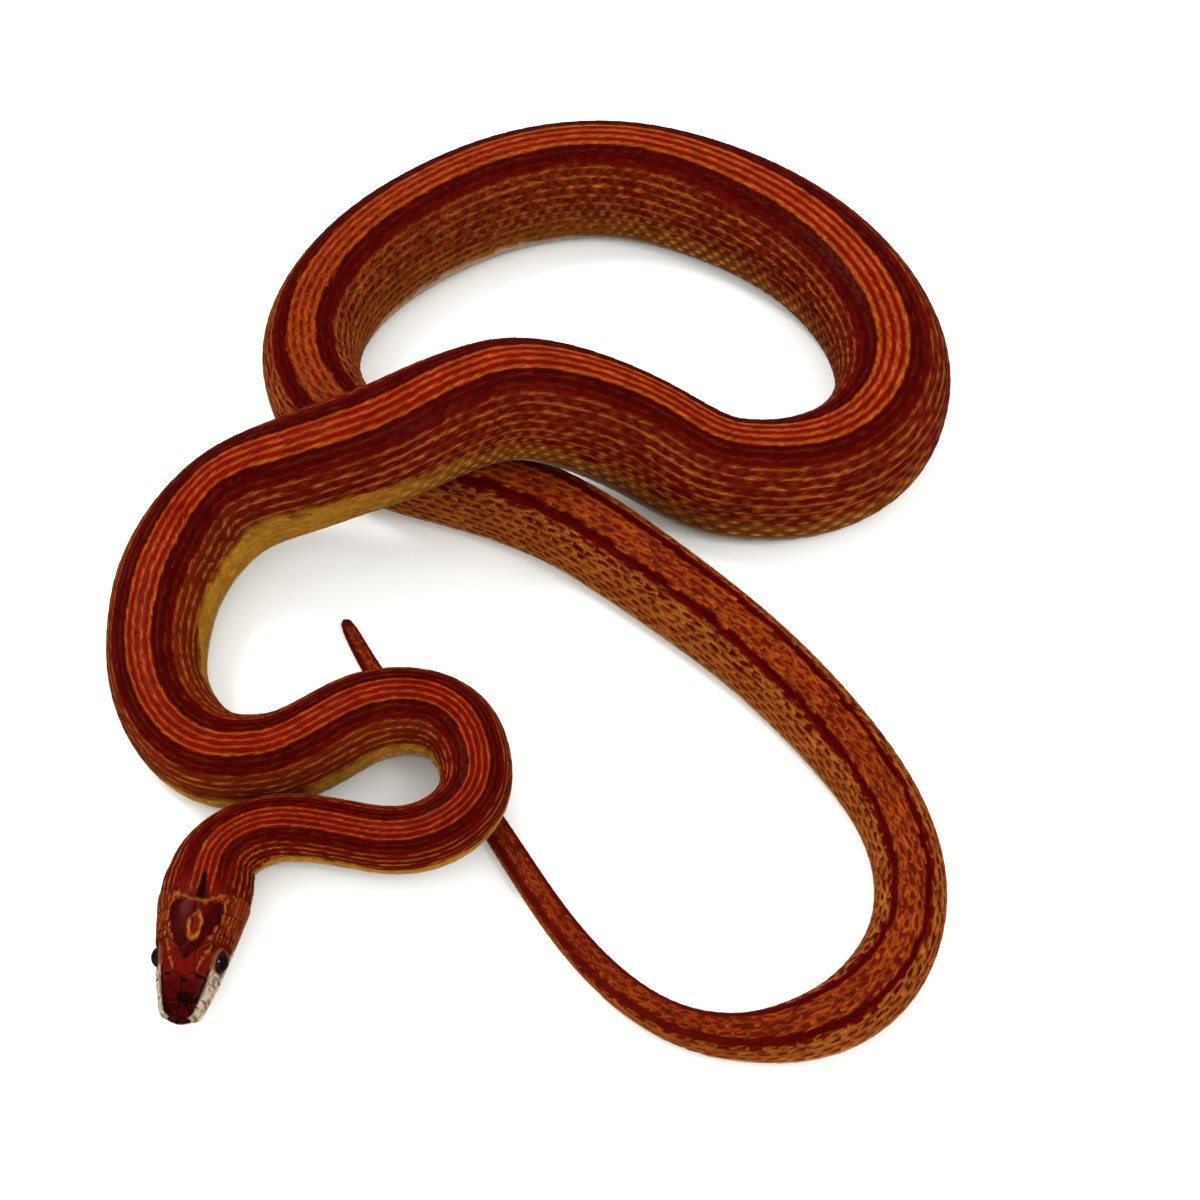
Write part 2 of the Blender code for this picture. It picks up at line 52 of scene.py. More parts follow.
# The route over the floor, from nape to tail tip, and the middle of the animal's box
NAPE = (-53.5, -50.2)
HEAD_TURN = math.radians(5.6)
ROUTE = (
    (-49.9, -45.1), (-46.0, -43.6), (-38.0, -43.9), (-30.5, -45.4), (-25.0, -45.8),
    (-20.7, -44.1), (-17.8, -39.9), (-17.8, -34.3), (-20.3, -29.3), (-25.0, -26.8),
    (-31.0, -26.9), (-38.2, -29.5), (-47.6, -32.2), (-54.9, -31.8), (-61.3, -26.4),
    (-65.1, -17.9), (-65.9, -8.5), (-63.4, 3.4), (-56.1, 9.7), (-45.1, 10.3),
    (-34.6, 12.7), (-24.8, 18.3), (-14.7, 22.5), (-4.4, 23.6), (8.0, 22.4),
    (18.0, 19.0), (29.4, 18.2), (40.4, 23.1), (47.3, 35.6), (46.1, 51.1),
    (34.8, 69.7), (19.4, 80.7), (2.5, 86.1), (-14.0, 84.0), (-28.0, 76.7),
    (-41.1, 64.1), (-47.6, 48.2), (-44.3, 33.3), (-35.1, 24.4), (-24.1, 19.8),
    (-8.0, 12.8), (7.3, 1.2), (24.1, -14.8), (34.5, -28.2), (41.8, -42.8),
    (42.7, -53.8), (38.9, -64.1), (31.3, -70.9), (22.0, -73.3), (12.6, -72.2),
    (0.4, -63.9), (-9.1, -51.0), (-21.0, -31.8), (-33.0, -15.8), (-39.4, -3.8),
)
BOX_MIDDLE = (-8.27, 9.43)

# Half width, tallness and lift of the body by station
GIRTH = (
    (22, 5.85), (28, 5.15), (35, 4.75), (46, 4.5), (58, 4.75), (70, 5.3), (80, 6.0),
    (95, 6.45), (108, 6.55), (125, 6.95), (150, 8.1), (185, 8.7), (240, 9.1), (297, 9.35),
    (338, 9.75), (360, 9.65), (390, 9.1), (420, 8.05), (455, 7.3), (495, 6.5), (530, 5.65),
    (558, 4.95), (576, 4.95), (586, 4.5), (600, 3.0), (614, 2.35), (650, 1.9), (676, 1.5),
    (686, 1.25), (690.2, 1.0), (691.5, 0.65), (692.1, 0.05),
)
TALLNESS = (
    (22, 0.67), (28, 0.80), (38, 0.94), (50, 1.0), (430, 1.0), (456, 0.94), (485, 1.0), (700, 1.0),
)
LIFT = (
    (0, 2.0), (46, 2.0), (60, 4.4), (88, 4.4), (104, 0.0), (146, 0.0), (182, 14.2),
    (203, 14.2), (242, 0.0), (700, 0.0),
)
BELLY_LEVEL = 0.86
BELLY_POWER = 2.7
BACK_POWER = 2.05
VENT = 582.0

# The head, back from the snout and up from the chin
HEAD_LENGTH = 22.0
HEAD_CORE = 3.2
HEAD_WIDTH = (
    (-0.2, 0.05), (-0.08, 0.6), (0.1, 1.2), (0.35, 1.95), (1.0, 2.75), (2.8, 3.35), (5.5, 4.1),
    (8.3, 4.75), (11.0, 5.3), (14.0, 5.85), (17.0, 6.25), (19.5, 6.25), (22.0, 5.85),
)
HEAD_TOP = (
    (-0.2, 2.3), (-0.08, 2.75), (0.1, 3.2), (0.35, 3.65), (1.0, 4.15), (2.8, 4.85), (5.5, 5.7),
    (8.3, 6.5), (11.0, 7.1), (14.0, 7.55), (17.0, 7.75), (19.5, 7.7), (22.0, 7.5),
)
HEAD_BOTTOM = (
    (-0.2, 2.2), (-0.08, 1.85), (0.1, 1.5), (0.35, 1.2), (1.0, 0.8), (2.8, 0.4), (5.5, 0.15),
    (9.0, 0.0), (22.0, 0.0),
)
HEAD_WIDEST = ((0.0, 2.3), (1.0, 2.35), (5.5, 2.75), (11.0, 3.3), (17.0, 3.6), (22.0, 3.85))
NECK_BLEND = ((20.5, 0.0), (24.0, 1.0))
SNOUT_POWER = 2.9
MOUTH_LINE = (
    (-2.0, 1.6), (0.0, 1.6), (3.0, 1.5), (6.0, 1.6), (9.0, 1.85), (12.0, 2.15), (14.5, 2.2),
    (16.4, 1.85), (17.6, 1.15), (18.4, 0.2), (19.2, -2.0),
)
EYE_MIDDLE = (8.2, 3.65, 4.15)
EYE_RADIUS = 1.62
EYE_AXIS = (-0.16, 0.9, 0.4)
NOSTRIL = (1.55, 3.2)

# How deep the skin lies under the body's surface, and the arc at which the belly starts
SKIN_DEPTH = ((16.0, 0.05), (26.0, 0.15), (560.0, 0.15), (690.0, 0.06), (691.6, 0.0))
BELLY_EDGE = 0.68
# Painted shade: the skin between the scales is darkened for the shade in the gaps, and so is the rim
# tucked under each
SKIN_GAP_SHADE = 0.7
SCALE_RIM_SHADE = 0.4
SCUTE_RIM_SHADE = 0.5
# Places of the points on one scale and on one scute, along and across it from -1 to 1
SCALE_ALONG = (-1.0, -0.66, -0.25, 0.2, 0.58, 0.86, 1.0)
SCALE_ACROSS = (-1.0, -0.9, -0.6, -0.3, 0.0, 0.3, 0.6, 0.9, 1.0)
SCUTE_ALONG = (-1.0, -0.7, 0.2, 0.82, 1.0)
SCUTE_ACROSS = (-1.0, -0.97, *np.linspace(-0.9, 0.9, 15), 0.97, 1.0)
# Stations at which the pieces of the scale coat start, the last one the tail's
SCALE_PIECE_STARTS = (0.0, 140.0, 250.0, 360.0, 470.0, VENT)
# Rows of scales round the back and sides, and the pitch of the scale lines, by station
ROWS = (
    (12, 24), (45, 24), (75, 25), (110, 27), (430, 27), (500, 23), (560, 20), (584, 17),
    (600, 13), (625, 10), (690, 7),
)
PITCH = (
    (12, 1.05), (22, 1.25), (40, 1.7), (70, 2.1), (150, 2.5), (340, 2.75), (460, 2.6), (582, 2.1),
    (620, 1.65), (690, 1.2),
)
# Where the middle of the back lies, as an arc, because the body rolls a little in its bends
ROLL = (
    (0, 0.0), (24, -0.01), (40, -0.06), (52, -0.08), (62, -0.06), (75, -0.01), (90, 0.02), (105, 0.05),
    (120, 0.09), (130, 0.075), (143, 0.035), (156, -0.01), (168, -0.06), (180, -0.055), (195, -0.02),
    (208, 0.015), (220, 0.045), (232, 0.07), (244, 0.06), (258, 0.03), (300, 0.03), (325, 0.01),
    (350, -0.02), (385, -0.025), (430, -0.03), (470, -0.015), (520, -0.015), (555, -0.035),
    (575, 0.0), (600, 0.0), (690, 0.0),
)

# Head plates on the animal's right, as station and arc, and mirrored to its left
CROWN_PLATES = (
    ((0.4, 0.0), (0.45, 0.24), (1.95, 0.2), (2.05, 0.0)),
    ((2.05, 0.0), (1.95, 0.2), (2.9, 0.31), (5.2, 0.3), (5.75, 0.125), (5.0, 0.0)),
    ((5.75, 0.125), (5.3, 0.3), (6.6, 0.345), (9.6, 0.335), (10.25, 0.225), (8.7, 0.085)),
    ((9.85, 0.0), (8.7, 0.085), (10.25, 0.225), (11.7, 0.245), (14.6, 0.2), (15.9, 0.075), (15.4, 0.0)),
)
FRONTAL = ((5.0, 0.0), (5.75, 0.125), (8.7, 0.085), (9.85, 0.0), (8.7, -0.085), (5.75, -0.125))
# Nasal, loreal, preocular, two postoculars and five temporals
CHEEK_PLATES = (
    ((0.45, 0.24), (1.95, 0.2), (2.6, 0.28), (2.4, 0.47), (0.5, 0.45)),
    ((2.6, 0.28), (2.9, 0.31), (4.75, 0.305), (4.8, 0.47), (2.4, 0.47)),
    ((4.75, 0.305), (5.3, 0.3), (6.45, 0.34), (6.3, 0.475), (4.8, 0.47)),
    ((9.7, 0.34), (10.25, 0.225), (11.2, 0.24), (11.15, 0.385), (10.1, 0.39)),
    ((10.1, 0.39), (11.15, 0.385), (11.2, 0.5), (9.9, 0.515)),
    ((11.2, 0.24), (11.7, 0.245), (14.1, 0.21), (14.1, 0.36), (11.15, 0.375)),
    ((11.15, 0.375), (14.1, 0.36), (14.2, 0.485), (11.2, 0.5)),
    ((14.1, 0.21), (14.6, 0.2), (15.5, 0.13), (17.0, 0.17), (17.2, 0.3), (14.1, 0.31)),
    ((14.1, 0.31), (17.2, 0.3), (17.2, 0.41), (14.1, 0.415)),
    ((14.1, 0.415), (17.2, 0.41), (17.1, 0.5), (14.2, 0.485)),
)
UPPER_LIP_CUTS = (0.5, 2.4, 4.0, 5.7, 7.4, 9.3, 11.4, 14.0, 17.1)
UPPER_LIP_EDGE = (
    (0.5, 0.45), (2.4, 0.47), (4.8, 0.47), (6.3, 0.475), (7.3, 0.52), (9.2, 0.525), (9.9, 0.515),
    (11.2, 0.5), (14.2, 0.485), (17.1, 0.5),
)
LOWER_LIP_CUTS = (0.5, 2.3, 3.9, 5.7, 7.8, 10.1, 12.6, 15.2)
LOWER_LIP_EDGE = ((0.5, 0.78), (2.3, 0.765), (5.7, 0.745), (16.0, 0.735))
CHIN_PLATES = (
    ((2.3, 1.0), (2.3, 0.88), (4.2, 0.79), (6.3, 0.815), (6.6, 1.0)),
    ((6.6, 1.0), (6.3, 0.815), (9.4, 0.85), (10.4, 1.0)),
)
# The plate on the tip of the snout, seen from the front as across and height
ROSTRAL = (
    (-1.35, 1.74), (1.35, 1.74), (1.7, 2.3), (1.5, 3.0), (0.85, 3.5), (0.0, 3.6), (-0.85, 3.5),
    (-1.5, 3.0), (-1.7, 2.3),
)
LIP_GAP = 0.012
SEAM = 0.05

# Colours of the coat, as linear red, green and blue
RED = (0.20, 0.0032, 0.0010)
WINE = (0.125, 0.0015, 0.0006)
MAROON = (0.066, 0.0006, 0.0004)
BLACKISH = (0.006, 0.0003, 0.0003)
FLANK = (0.110, 0.0018, 0.0007)
ORANGE = (0.50, 0.115, 0.009)
RUST = (0.26, 0.050, 0.005)
TAN = (0.56, 0.165, 0.022)
SAND = (0.62, 0.30, 0.07)
OCHRE = (0.58, 0.27, 0.022)
HONEY = (0.45, 0.17, 0.018)
UMBER = (0.30, 0.050, 0.004)
CREAM = (0.66, 0.46, 0.28)
BELLY = (0.78, 0.68, 0.52)
BELLY_CLOUD = (0.50, 0.36, 0.22)
NET_GROUND = (0.13, 0.007, 0.002)
BACK_RIM = (0.42, 0.072, 0.006)
FLANK_RIM = (0.46, 0.14, 0.017)
LOW_RIM = (0.56, 0.23, 0.04)
DARK_SPOT = (0.115, 0.003, 0.001)

# Colours of the head and eyes
HEAD_RED = (0.135, 0.0040, 0.0012)
HEAD_CLOUD = (0.085, 0.0015, 0.0008)
TEMPLE_STREAK = (0.40, 0.095, 0.009)
TEMPLE_LOW = (0.36, 0.15, 0.03)
SNOUT = (0.072, 0.0012, 0.0006)
SNOUT_CLOUD = (0.016, 0.0004, 0.0003)
SNOUT_TIP = (0.06, 0.0022, 0.0014)
CROWN = (0.16, 0.004, 0.0015)
SPEAR_EDGE = (0.40, 0.10, 0.010)
SPEAR_MIDDLE = (0.085, 0.0018, 0.0008)
SPEAR_LOBE = (0.052, 0.0007, 0.0004)
ISLAND = (0.15, 0.008, 0.002)
RING = (0.44, 0.12, 0.012)
BROW = (0.40, 0.11, 0.015)
NAPE_DASH = (0.022, 0.0005, 0.0004)
LIP = (0.62, 0.47, 0.34)
LIP_CLOUD = (0.16, 0.05, 0.03)
# Near black painted into the nostril's hollow as painted shade
NOSTRIL_SHADE = (0.004, 0.002, 0.002)
LID = (0.13, 0.012, 0.004)
LID_CREST = (0.32, 0.13, 0.06)
# Near black in the crease where the lid meets the ball, as painted shade
LID_CREASE_SHADE = (0.008, 0.003, 0.002)
PUPIL = (0.0015, 0.001, 0.001)
IRIS = (0.016, 0.004, 0.002)

# The spearhead on the crown: how far out its lobes run and their half width, by station
LOBE_LINE = ((7.8, 0.1), (9.6, 1.05), (11.0, 1.9), (12.6, 2.45), (14.0, 2.8), (15.4, 2.95))
LOBE_HALF = ((7.8, 0.25), (8.6, 0.75), (10.0, 0.85), (13.0, 0.85), (14.6, 0.7), (15.4, 0.3))
# Half width of the dark dash on the nape
DASH_HALF = ((15.6, 0.35), (16.2, 0.6), (19.3, 0.3), (19.8, 0.05))

# Arcs from the middle of the back at which the lengthwise bands end
LIGHT_EDGE = (
    (18, 0.10), (30, 0.115), (60, 0.095), (80, 0.085), (150, 0.083), (330, 0.088), (430, 0.095),
    (480, 0.115), (570, 0.12), (600, 0.15), (630, 0.18), (690, 0.2),
)
DARK_EDGE = (
    (18, 0.19), (30, 0.245), (60, 0.235), (80, 0.23), (150, 0.225), (210, 0.215), (330, 0.21),
    (430, 0.215), (480, 0.195), (570, 0.19), (600, 0.28), (630, 0.35), (690, 0.5),
)
FLANK_EDGE = (
    (18, 0.58), (26, 0.51), (38, 0.44), (60, 0.46), (110, 0.47), (150, 0.40), (185, 0.45),
    (215, 0.56), (300, 0.54), (360, 0.52), (400, 0.45), (430, 0.38), (480, 0.33), (570, 0.33),
    (600, 0.36), (690, 0.55),
)
OCHRE_EDGE = (
    (18, 0.66), (26, 0.62), (38, 0.55), (60, 0.58), (110, 0.62), (150, 0.63), (190, 0.8),
    (330, 0.8), (380, 0.66), (480, 0.63), (570, 0.57), (600, 0.6), (690, 0.75),
)
# How far the low flank turns ochre
OCHRE_SHARE = ((0, 0.9), (160, 0.9), (200, 0.12), (330, 0.12), (400, 0.5), (440, 0.8), (700, 0.8))
# Sets the noise of one side of the body apart from that of the other
SIDE_SHIFT = 37.0
# Half width of the light lines in rows of scales, and how strongly each line between rows shows
LINE_WIDTH = ((0, 0.12), (60, 0.12), (150, 0.15), (185, 0.16), (220, 0.19), (430, 0.2), (700, 0.2))
LINE_STRENGTH = (0.9, 1.0, 0.12, 0.12, 0.6, 0.85, 0.9, 0.85, 0.7, 0.65, 0.6, 0.45, 0.3, 0.1, 0.0)
# A second dark stripe low on the flanks: its row of scales, and where it shows
LATERAL_ROW = 8.2
LATERAL = (
    (0, 0.0), (115, 0.0), (128, 0.7), (155, 0.7), (166, 0.0), (280, 0.0), (292, 0.6), (325, 0.6),
    (340, 0.0), (700, 0.0),
)
# How far the lines give way to a net of light rims round dark scale middles
NET = ((0, 0.0), (330, 0.05), (400, 0.35), (455, 0.75), (510, 1.0), (700, 1.0))
# How strongly ochre scales carry a dark spot, and how strongly and widely flank scales a pale mark
SPOTS = (
    (0, 0.3), (160, 0.3), (190, 0.0), (330, 0.0), (370, 0.9), (430, 1.0), (590, 0.9), (620, 0.0),
    (700, 0.0),
)
MARKS = (
    (0, 0.15), (150, 0.2), (180, 0.75), (200, 1.0), (350, 0.95), (400, 0.5), (440, 0.0), (700, 0.0),
)
MARK_WIDTH = ((0, 0.08), (290, 0.16), (350, 0.2), (700, 0.2))

# Depth of the finest grain and half the floor's side, in metres
GRAIN_DEPTH = 0.00005
FLOOR_REACH = 3.0
# The camera: how steeply it looks down, its way to the floor in metres, and its lens
CAMERA_TILT = math.radians(54.0)
CAMERA_AWAY = 0.31248
CAMERA_LENS = 60.54
# The lights: place and side in metres, and power in watts
KEY_LIGHT = ((-0.6, 0.4, 1.0), 0.3, 6.5)
FILL_LIGHT = ((0.5, -0.4, 0.9), 0.28, 2.0)


def mix(first, second, share):
    """First where the share is 0, second where it is 1, and in proportion between."""
    return first + (second - first) * share


def smooth(part):
    """A rise from 0 to 1 that starts and ends level."""
    return part * part * (3.0 - 2.0 * part)


def step_between(low, high, value):
    """0 below low, 1 above high and a smooth rise between them."""
    return smooth(np.clip((value - low) / (high - low), 0.0, 1.0))


def fall_between(low, high, value):
    """1 below low, 0 above high and a smooth fall between them."""
    return 1.0 - step_between(low, high, value)


def row_before(places, wanted):
    """Number of the place at or before each wanted one, short of the last."""
    return np.clip(np.searchsorted(places, wanted, side="right") - 1, 0, len(places) - 2)


def straight(table, value):
    """Values on straight lines between the table's rows."""
    places, values = np.array(table, float).T
    return np.interp(value, places, values)


def eased(table, station):
    """Values between the table's rows, eased at each row so that ramps start and end level."""
    stations, values = np.array(table, float).T
    row = row_before(stations, station)
    part = np.clip((station - stations[row]) / (stations[row + 1] - stations[row]), 0.0, 1.0)
    return values[row] + (values[row + 1] - values[row]) * part**2 * (3.0 - 2.0 * part)


def flowing(table, station):
    """Values on a smooth curve through the table's rows, with no overshoot between them."""
    stations, values = np.array(table, float).T
    steps = np.diff(stations)
    rises = np.diff(values) / steps
    product = rises[:-1] * rises[1:]
    total = np.where(product > 0.0, rises[:-1] + rises[1:], 1.0)
    middle = np.where(product > 0.0, 2.0 * product / total, 0.0)
    slopes = np.concatenate([rises[:1], middle, rises[-1:]])
    row = row_before(stations, station)
    part = np.clip((station - stations[row]) / steps[row], 0.0, 1.0)
    first = (1.0 + 2.0 * part) * (1.0 - part) ** 2 * values[row]
    second = smooth(part) * values[row + 1]
    leaving = part * (1.0 - part) ** 2 * slopes[row] * steps[row]
    arriving = part**2 * (part - 1.0) * slopes[row + 1] * steps[row]
    return first + second + leaving + arriving


def signed_power(value, power):
    """The size of the value raised to the power, with the value's own sign."""
    return np.sign(value) * np.abs(value) ** power


def unit(vectors):
    """The vectors at a length of 1."""
    return vectors / (np.linalg.norm(vectors, axis=-1, keepdims=True) + 1e-12)


def noise(first, second, seed):
    """Smooth noise from -1 to 1: seeded values on a lattice, blended with eased weights."""
    lattice = np.random.default_rng(seed).uniform(-1.0, 1.0, (128, 128))
    column, row = np.floor(first).astype(int), np.floor(second).astype(int)
    across, along = smooth(first - column), smooth(second - row)
    near = mix(lattice[column % 128, row % 128], lattice[(column + 1) % 128, row % 128], across)
    far = mix(lattice[column % 128, (row + 1) % 128], lattice[(column + 1) % 128, (row + 1) % 128], across)
    return mix(near, far, along)


def natural_curve(points, start_slope):
    """Cubic pieces through the points with even bending, leaving along start_slope."""
    knots = np.concatenate([[0.0], np.cumsum(np.linalg.norm(np.diff(points, axis=0), axis=1))])
    steps = np.diff(knots)[:, None]
    rises = np.diff(points, axis=0) / steps
    count = len(points)
    system = np.eye(count)
    wanted = np.zeros_like(points)
    system[0, :2] = 2.0, 1.0
    wanted[0] = 6.0 * (rises[0] - start_slope) / steps[0]
    for row in range(1, count - 1):
        before, after = steps[row - 1, 0], steps[row, 0]
        system[row, row - 1 : row + 2] = before, 2.0 * (before + after), after
        wanted[row] = 6.0 * (rises[row] - rises[row - 1])
    return knots, np.linalg.solve(system, wanted)


def sample_curve(points, knots, bends, places):
    """Positions on the cubic pieces at the given places along the chords."""
    piece = row_before(knots, places)
    step = (knots[piece + 1] - knots[piece])[:, None]
    after = (places[:, None] - knots[piece][:, None]) / step
    before = 1.0 - after
    chord = before * points[piece] + after * points[piece + 1]
    bent = (before**3 - before) * bends[piece] + (after**3 - after) * bends[piece + 1]
    return chord + bent * step**2 / 6.0


def section_sizes(station):
    """Half width, widest level, rise, depth, foot and the back's roundness of a section.

    Ahead of the nape they come from the head's tables and behind it from the girth.
    """
    station = np.maximum(station, -0.2)
    neck = eased(NECK_BLEND, station)
    wide = np.where(station < HEAD_LENGTH, flowing(HEAD_WIDTH, station), flowing(GIRTH, station))
    tall = flowing(GIRTH, station) * flowing(TALLNESS, station)
    head_level = flowing(HEAD_WIDEST, station)
    foot = mix(flowing(HEAD_BOTTOM, station), 0.0, neck)
    level = mix(head_level, BELLY_LEVEL * tall, neck)
    rise = mix(flowing(HEAD_TOP, station) - head_level, tall, neck)
    depth = mix(head_level - flowing(HEAD_BOTTOM, station), tall, neck)
    snout = 2.1 + (SNOUT_POWER - 2.1) * np.exp(-(((station - 5.0) / 5.0) ** 2))
    return wide, level, rise, depth, foot, mix(snout, BACK_POWER, neck)


def with_height(flat, height):
    """Floor points or steps with their height as the third number."""
    return np.concatenate([flat, height[..., None]], axis=-1)


class Body:
    """The animal's surface without its coat, looked up by station and arc."""

    def __init__(self):
        """Lays the route from snout to tail tip and works out its sections."""
        self.back = np.array([math.sin(HEAD_TURN), math.cos(HEAD_TURN)])
        nape = np.array(NAPE)
        points = np.vstack([nape, np.array(ROUTE)])
        knots, bends = natural_curve(points, self.back)
        curve = sample_curve(points, knots, bends, np.linspace(0.0, knots[-1], 4000))
        snout = nape - self.back * HEAD_LENGTH
        self.path = np.vstack([snout, curve]) - np.array(BOX_MIDDLE)
        runs = np.linalg.norm(np.diff(self.path, axis=0), axis=1)
        self.path_stations = np.concatenate([[0.0], np.cumsum(runs)])
        self.length = float(self.path_stations[-1])
        self.make_sections()

    def make_sections(self):
        """Tables of side and height offsets at even arcs, for close stations."""
        head = np.arange(-0.2, HEAD_LENGTH, 0.1)
        end = self.length + 0.3
        self.stations = np.concatenate([head, np.arange(HEAD_LENGTH, end, 1.0), [end]])
        turn = np.linspace(-math.pi, math.pi, 1441)[None, :]
        sizes = section_sizes(self.stations)
        wide, level, rise, depth, foot, roundness = (size[:, None] for size in sizes)
        above = np.cos(turn) > 0.0
        power = 2.0 / np.where(above, roundness, BELLY_POWER)
        across = wide * signed_power(np.sin(turn), power)
        height = level + np.where(above, rise, depth) * signed_power(np.cos(turn), power)
        height = np.maximum(height, foot)
        steps = np.hypot(np.diff(across, axis=1), np.diff(height, axis=1))
        run = np.concatenate([np.zeros((len(steps), 1)), np.cumsum(steps, axis=1)], axis=1)
        self.half_round = 0.5 * run[:, -1]
        self.arcs = np.linspace(-1.0, 1.0, 601)
        self.across = np.empty((len(self.stations), len(self.arcs)))
        self.height = np.empty_like(self.across)
        for row, total in enumerate(self.half_round):
            wanted = (self.arcs + 1.0) * total
            self.across[row] = np.interp(wanted, run[row], across[row])
            self.height[row] = np.interp(wanted, run[row], height[row])
        self.level = level[:, 0]

    def on_route(self, station):
        """Floor point of the route at each station."""
        x, y = self.path.T
        return np.stack([np.interp(station, self.path_stations, axis) for axis in (x, y)], axis=-1)

    def centre(self, station):
        """Floor point, side and up directions and lifted level of the section's middle."""
        half = np.clip(station - HEAD_LENGTH, 0.02, 0.6)
        ahead, behind = station + half, station - half
        climb = eased(LIFT, ahead) - eased(LIFT, behind)
        along = unit(with_height(self.on_route(ahead) - self.on_route(behind), climb))
        side = unit(np.stack([-along[..., 1], along[..., 0], np.zeros(along.shape[:-1])], axis=-1))
        level = np.interp(station, self.stations, self.level)
        place = self.on_route(station) - self.back * np.maximum(-station, 0.0)[..., None]
        middle = with_height(place, eased(LIFT, station) + level)
        return middle, side, np.cross(along, side), level

    def offsets(self, station, arc):
        """Side and height offsets of the section, between the four nearest table values."""
        arc = (arc + 1.0) % 2.0 - 1.0
        row = row_before(self.stations, station)
        before, after = self.stations[row], self.stations[row + 1]
        down = np.clip((station - before) / (after - before), 0.0, 1.0)
        column = (arc + 1.0) * 0.5 * (len(self.arcs) - 1)
        left = np.clip(column.astype(int), 0, len(self.arcs) - 2)
        over = column - left
        found = []
        for table in (self.across, self.height):
            near = mix(table[row, left], table[row, left + 1], over)
            far = mix(table[row + 1, left], table[row + 1, left + 1], over)
            found.append(mix(near, far, down))
        return found

    def bare(self, station, arc):
        """Points of the surface: middle plus side times across plus up times height over the level."""
        middle, side, up, level = self.centre(station)
        across, height = self.offsets(station, arc)
        return middle + side * across[..., None] + up * (height - level)[..., None]

    def outward(self, station, arc):
        """Unit normals, from the slopes along the body and round it."""
        along = self.bare(station + 0.15, arc) - self.bare(station - 0.15, arc)
        around = self.bare(station, arc + 0.008) - self.bare(station, arc - 0.008)
        return unit(np.cross(along, around))

    def place(self, station, arc, rise):
        """Points at a rise over the surface, along its normals."""
        return self.bare(station, arc) + self.outward(station, arc) * rise[..., None]

    def round_at(self, station):
        """Half the length round the section."""
        return np.interp(station, self.stations, self.half_round)

    def in_place(self, points):
        """Head points of back, across and height, carried to their place."""
        side = np.array([-self.back[1], self.back[0], 0.0])
        snout = np.array([*self.path[0], LIFT[0][1]])
        axes = np.array([(*self.back, 0.0), side, (0.0, 0.0, 1.0)])
        return snout + points @ axes


def quads_of_grid(rows, columns, wrap=False):
    """Corner numbers of the quads between neighbouring grid points, row by row."""
    number = np.arange(rows * columns).reshape(rows, columns)
    beside = np.roll(number, -1, axis=1)
    if not wrap:
        number, beside = number[:, :-1], beside[:, :-1]
    return np.stack([number[:-1], number[1:], beside[1:], beside[:-1]], axis=-1).reshape(-1, 4)


def leaf_grid(along, across):
    """The points of one small plate as their shares along and across it, and its quads."""
    a, b = (grid.ravel()[None, :] for grid in np.meshgrid(along, across, indexing="ij"))
    return a, b, quads_of_grid(len(along), len(across))


def on_rim(a, b):
    """Which points of a small plate lie on its rim."""
    return (np.abs(a) > 0.99) | (np.abs(b) > 0.99)


def repeat_quads(quads, size, count):
    """The quads of one small grid of size points, again for each of count grids."""
    return (quads[None] + size * np.arange(count)[:, None, None]).reshape(-1, 4)


def mesh_piece(name, points, quads, paint, bake, finish, slot):
    """A mesh from whole arrays, its poles welded, with its colour and map, riding on the body."""
    points, paint, bake = points.reshape(-1, 3), paint.reshape(-1, 3), bake.reshape(-1, 2)
    mesh = bpy.data.meshes.new(name)
    mesh.vertices.add(len(points))
    mesh.vertices.foreach_set("co", (points * MM).astype(np.float32).ravel())
    mesh.loops.add(quads.size)
    mesh.loops.foreach_set("vertex_index", quads.astype(np.int32).ravel())
    mesh.polygons.add(len(quads))
    mesh.polygons.foreach_set("loop_start", np.arange(0, quads.size, 4, dtype=np.int32))
    mesh.update(calc_edges=True)
    colour = mesh.attributes.new("paint", "FLOAT_COLOR", "POINT")
    tones = np.column_stack([paint, np.ones(len(paint))])
    colour.data.foreach_set("color", tones.astype(np.float32).ravel())
    layer = mesh.uv_layers.new(name="OFBake")
    layer.uv.foreach_set("vector", bake[quads.ravel()].astype(np.float32).ravel())
    welded = bmesh.new()
    welded.from_mesh(mesh)
    bmesh.ops.remove_doubles(welded, verts=welded.verts, dist=WELD)
    welded.to_mesh(mesh)
    welded.free()
    mesh.shade_smooth()
    mesh.materials.append(finish)
    piece = bpy.data.objects.new(name, mesh)
    bpy.context.scene.collection.objects.link(piece)
    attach(piece, "root")
    return piece


def blend_paint(base, colour, share):
    """The base colours moved towards one colour by each point's share."""
    return mix(base, np.asarray(colour), np.clip(share, 0.0, 1.0)[..., None])


def layered(paint, *layers):
    """The paint under layers of colour, each given as a colour and its share at each point."""
    for colour, share in layers:
        paint = blend_paint(paint, colour, share)
    return paint


def plain(colour, shape):
    """One colour at every point of a shape."""
    return np.broadcast_to(np.array(colour), (*shape, 3)) + 0.0


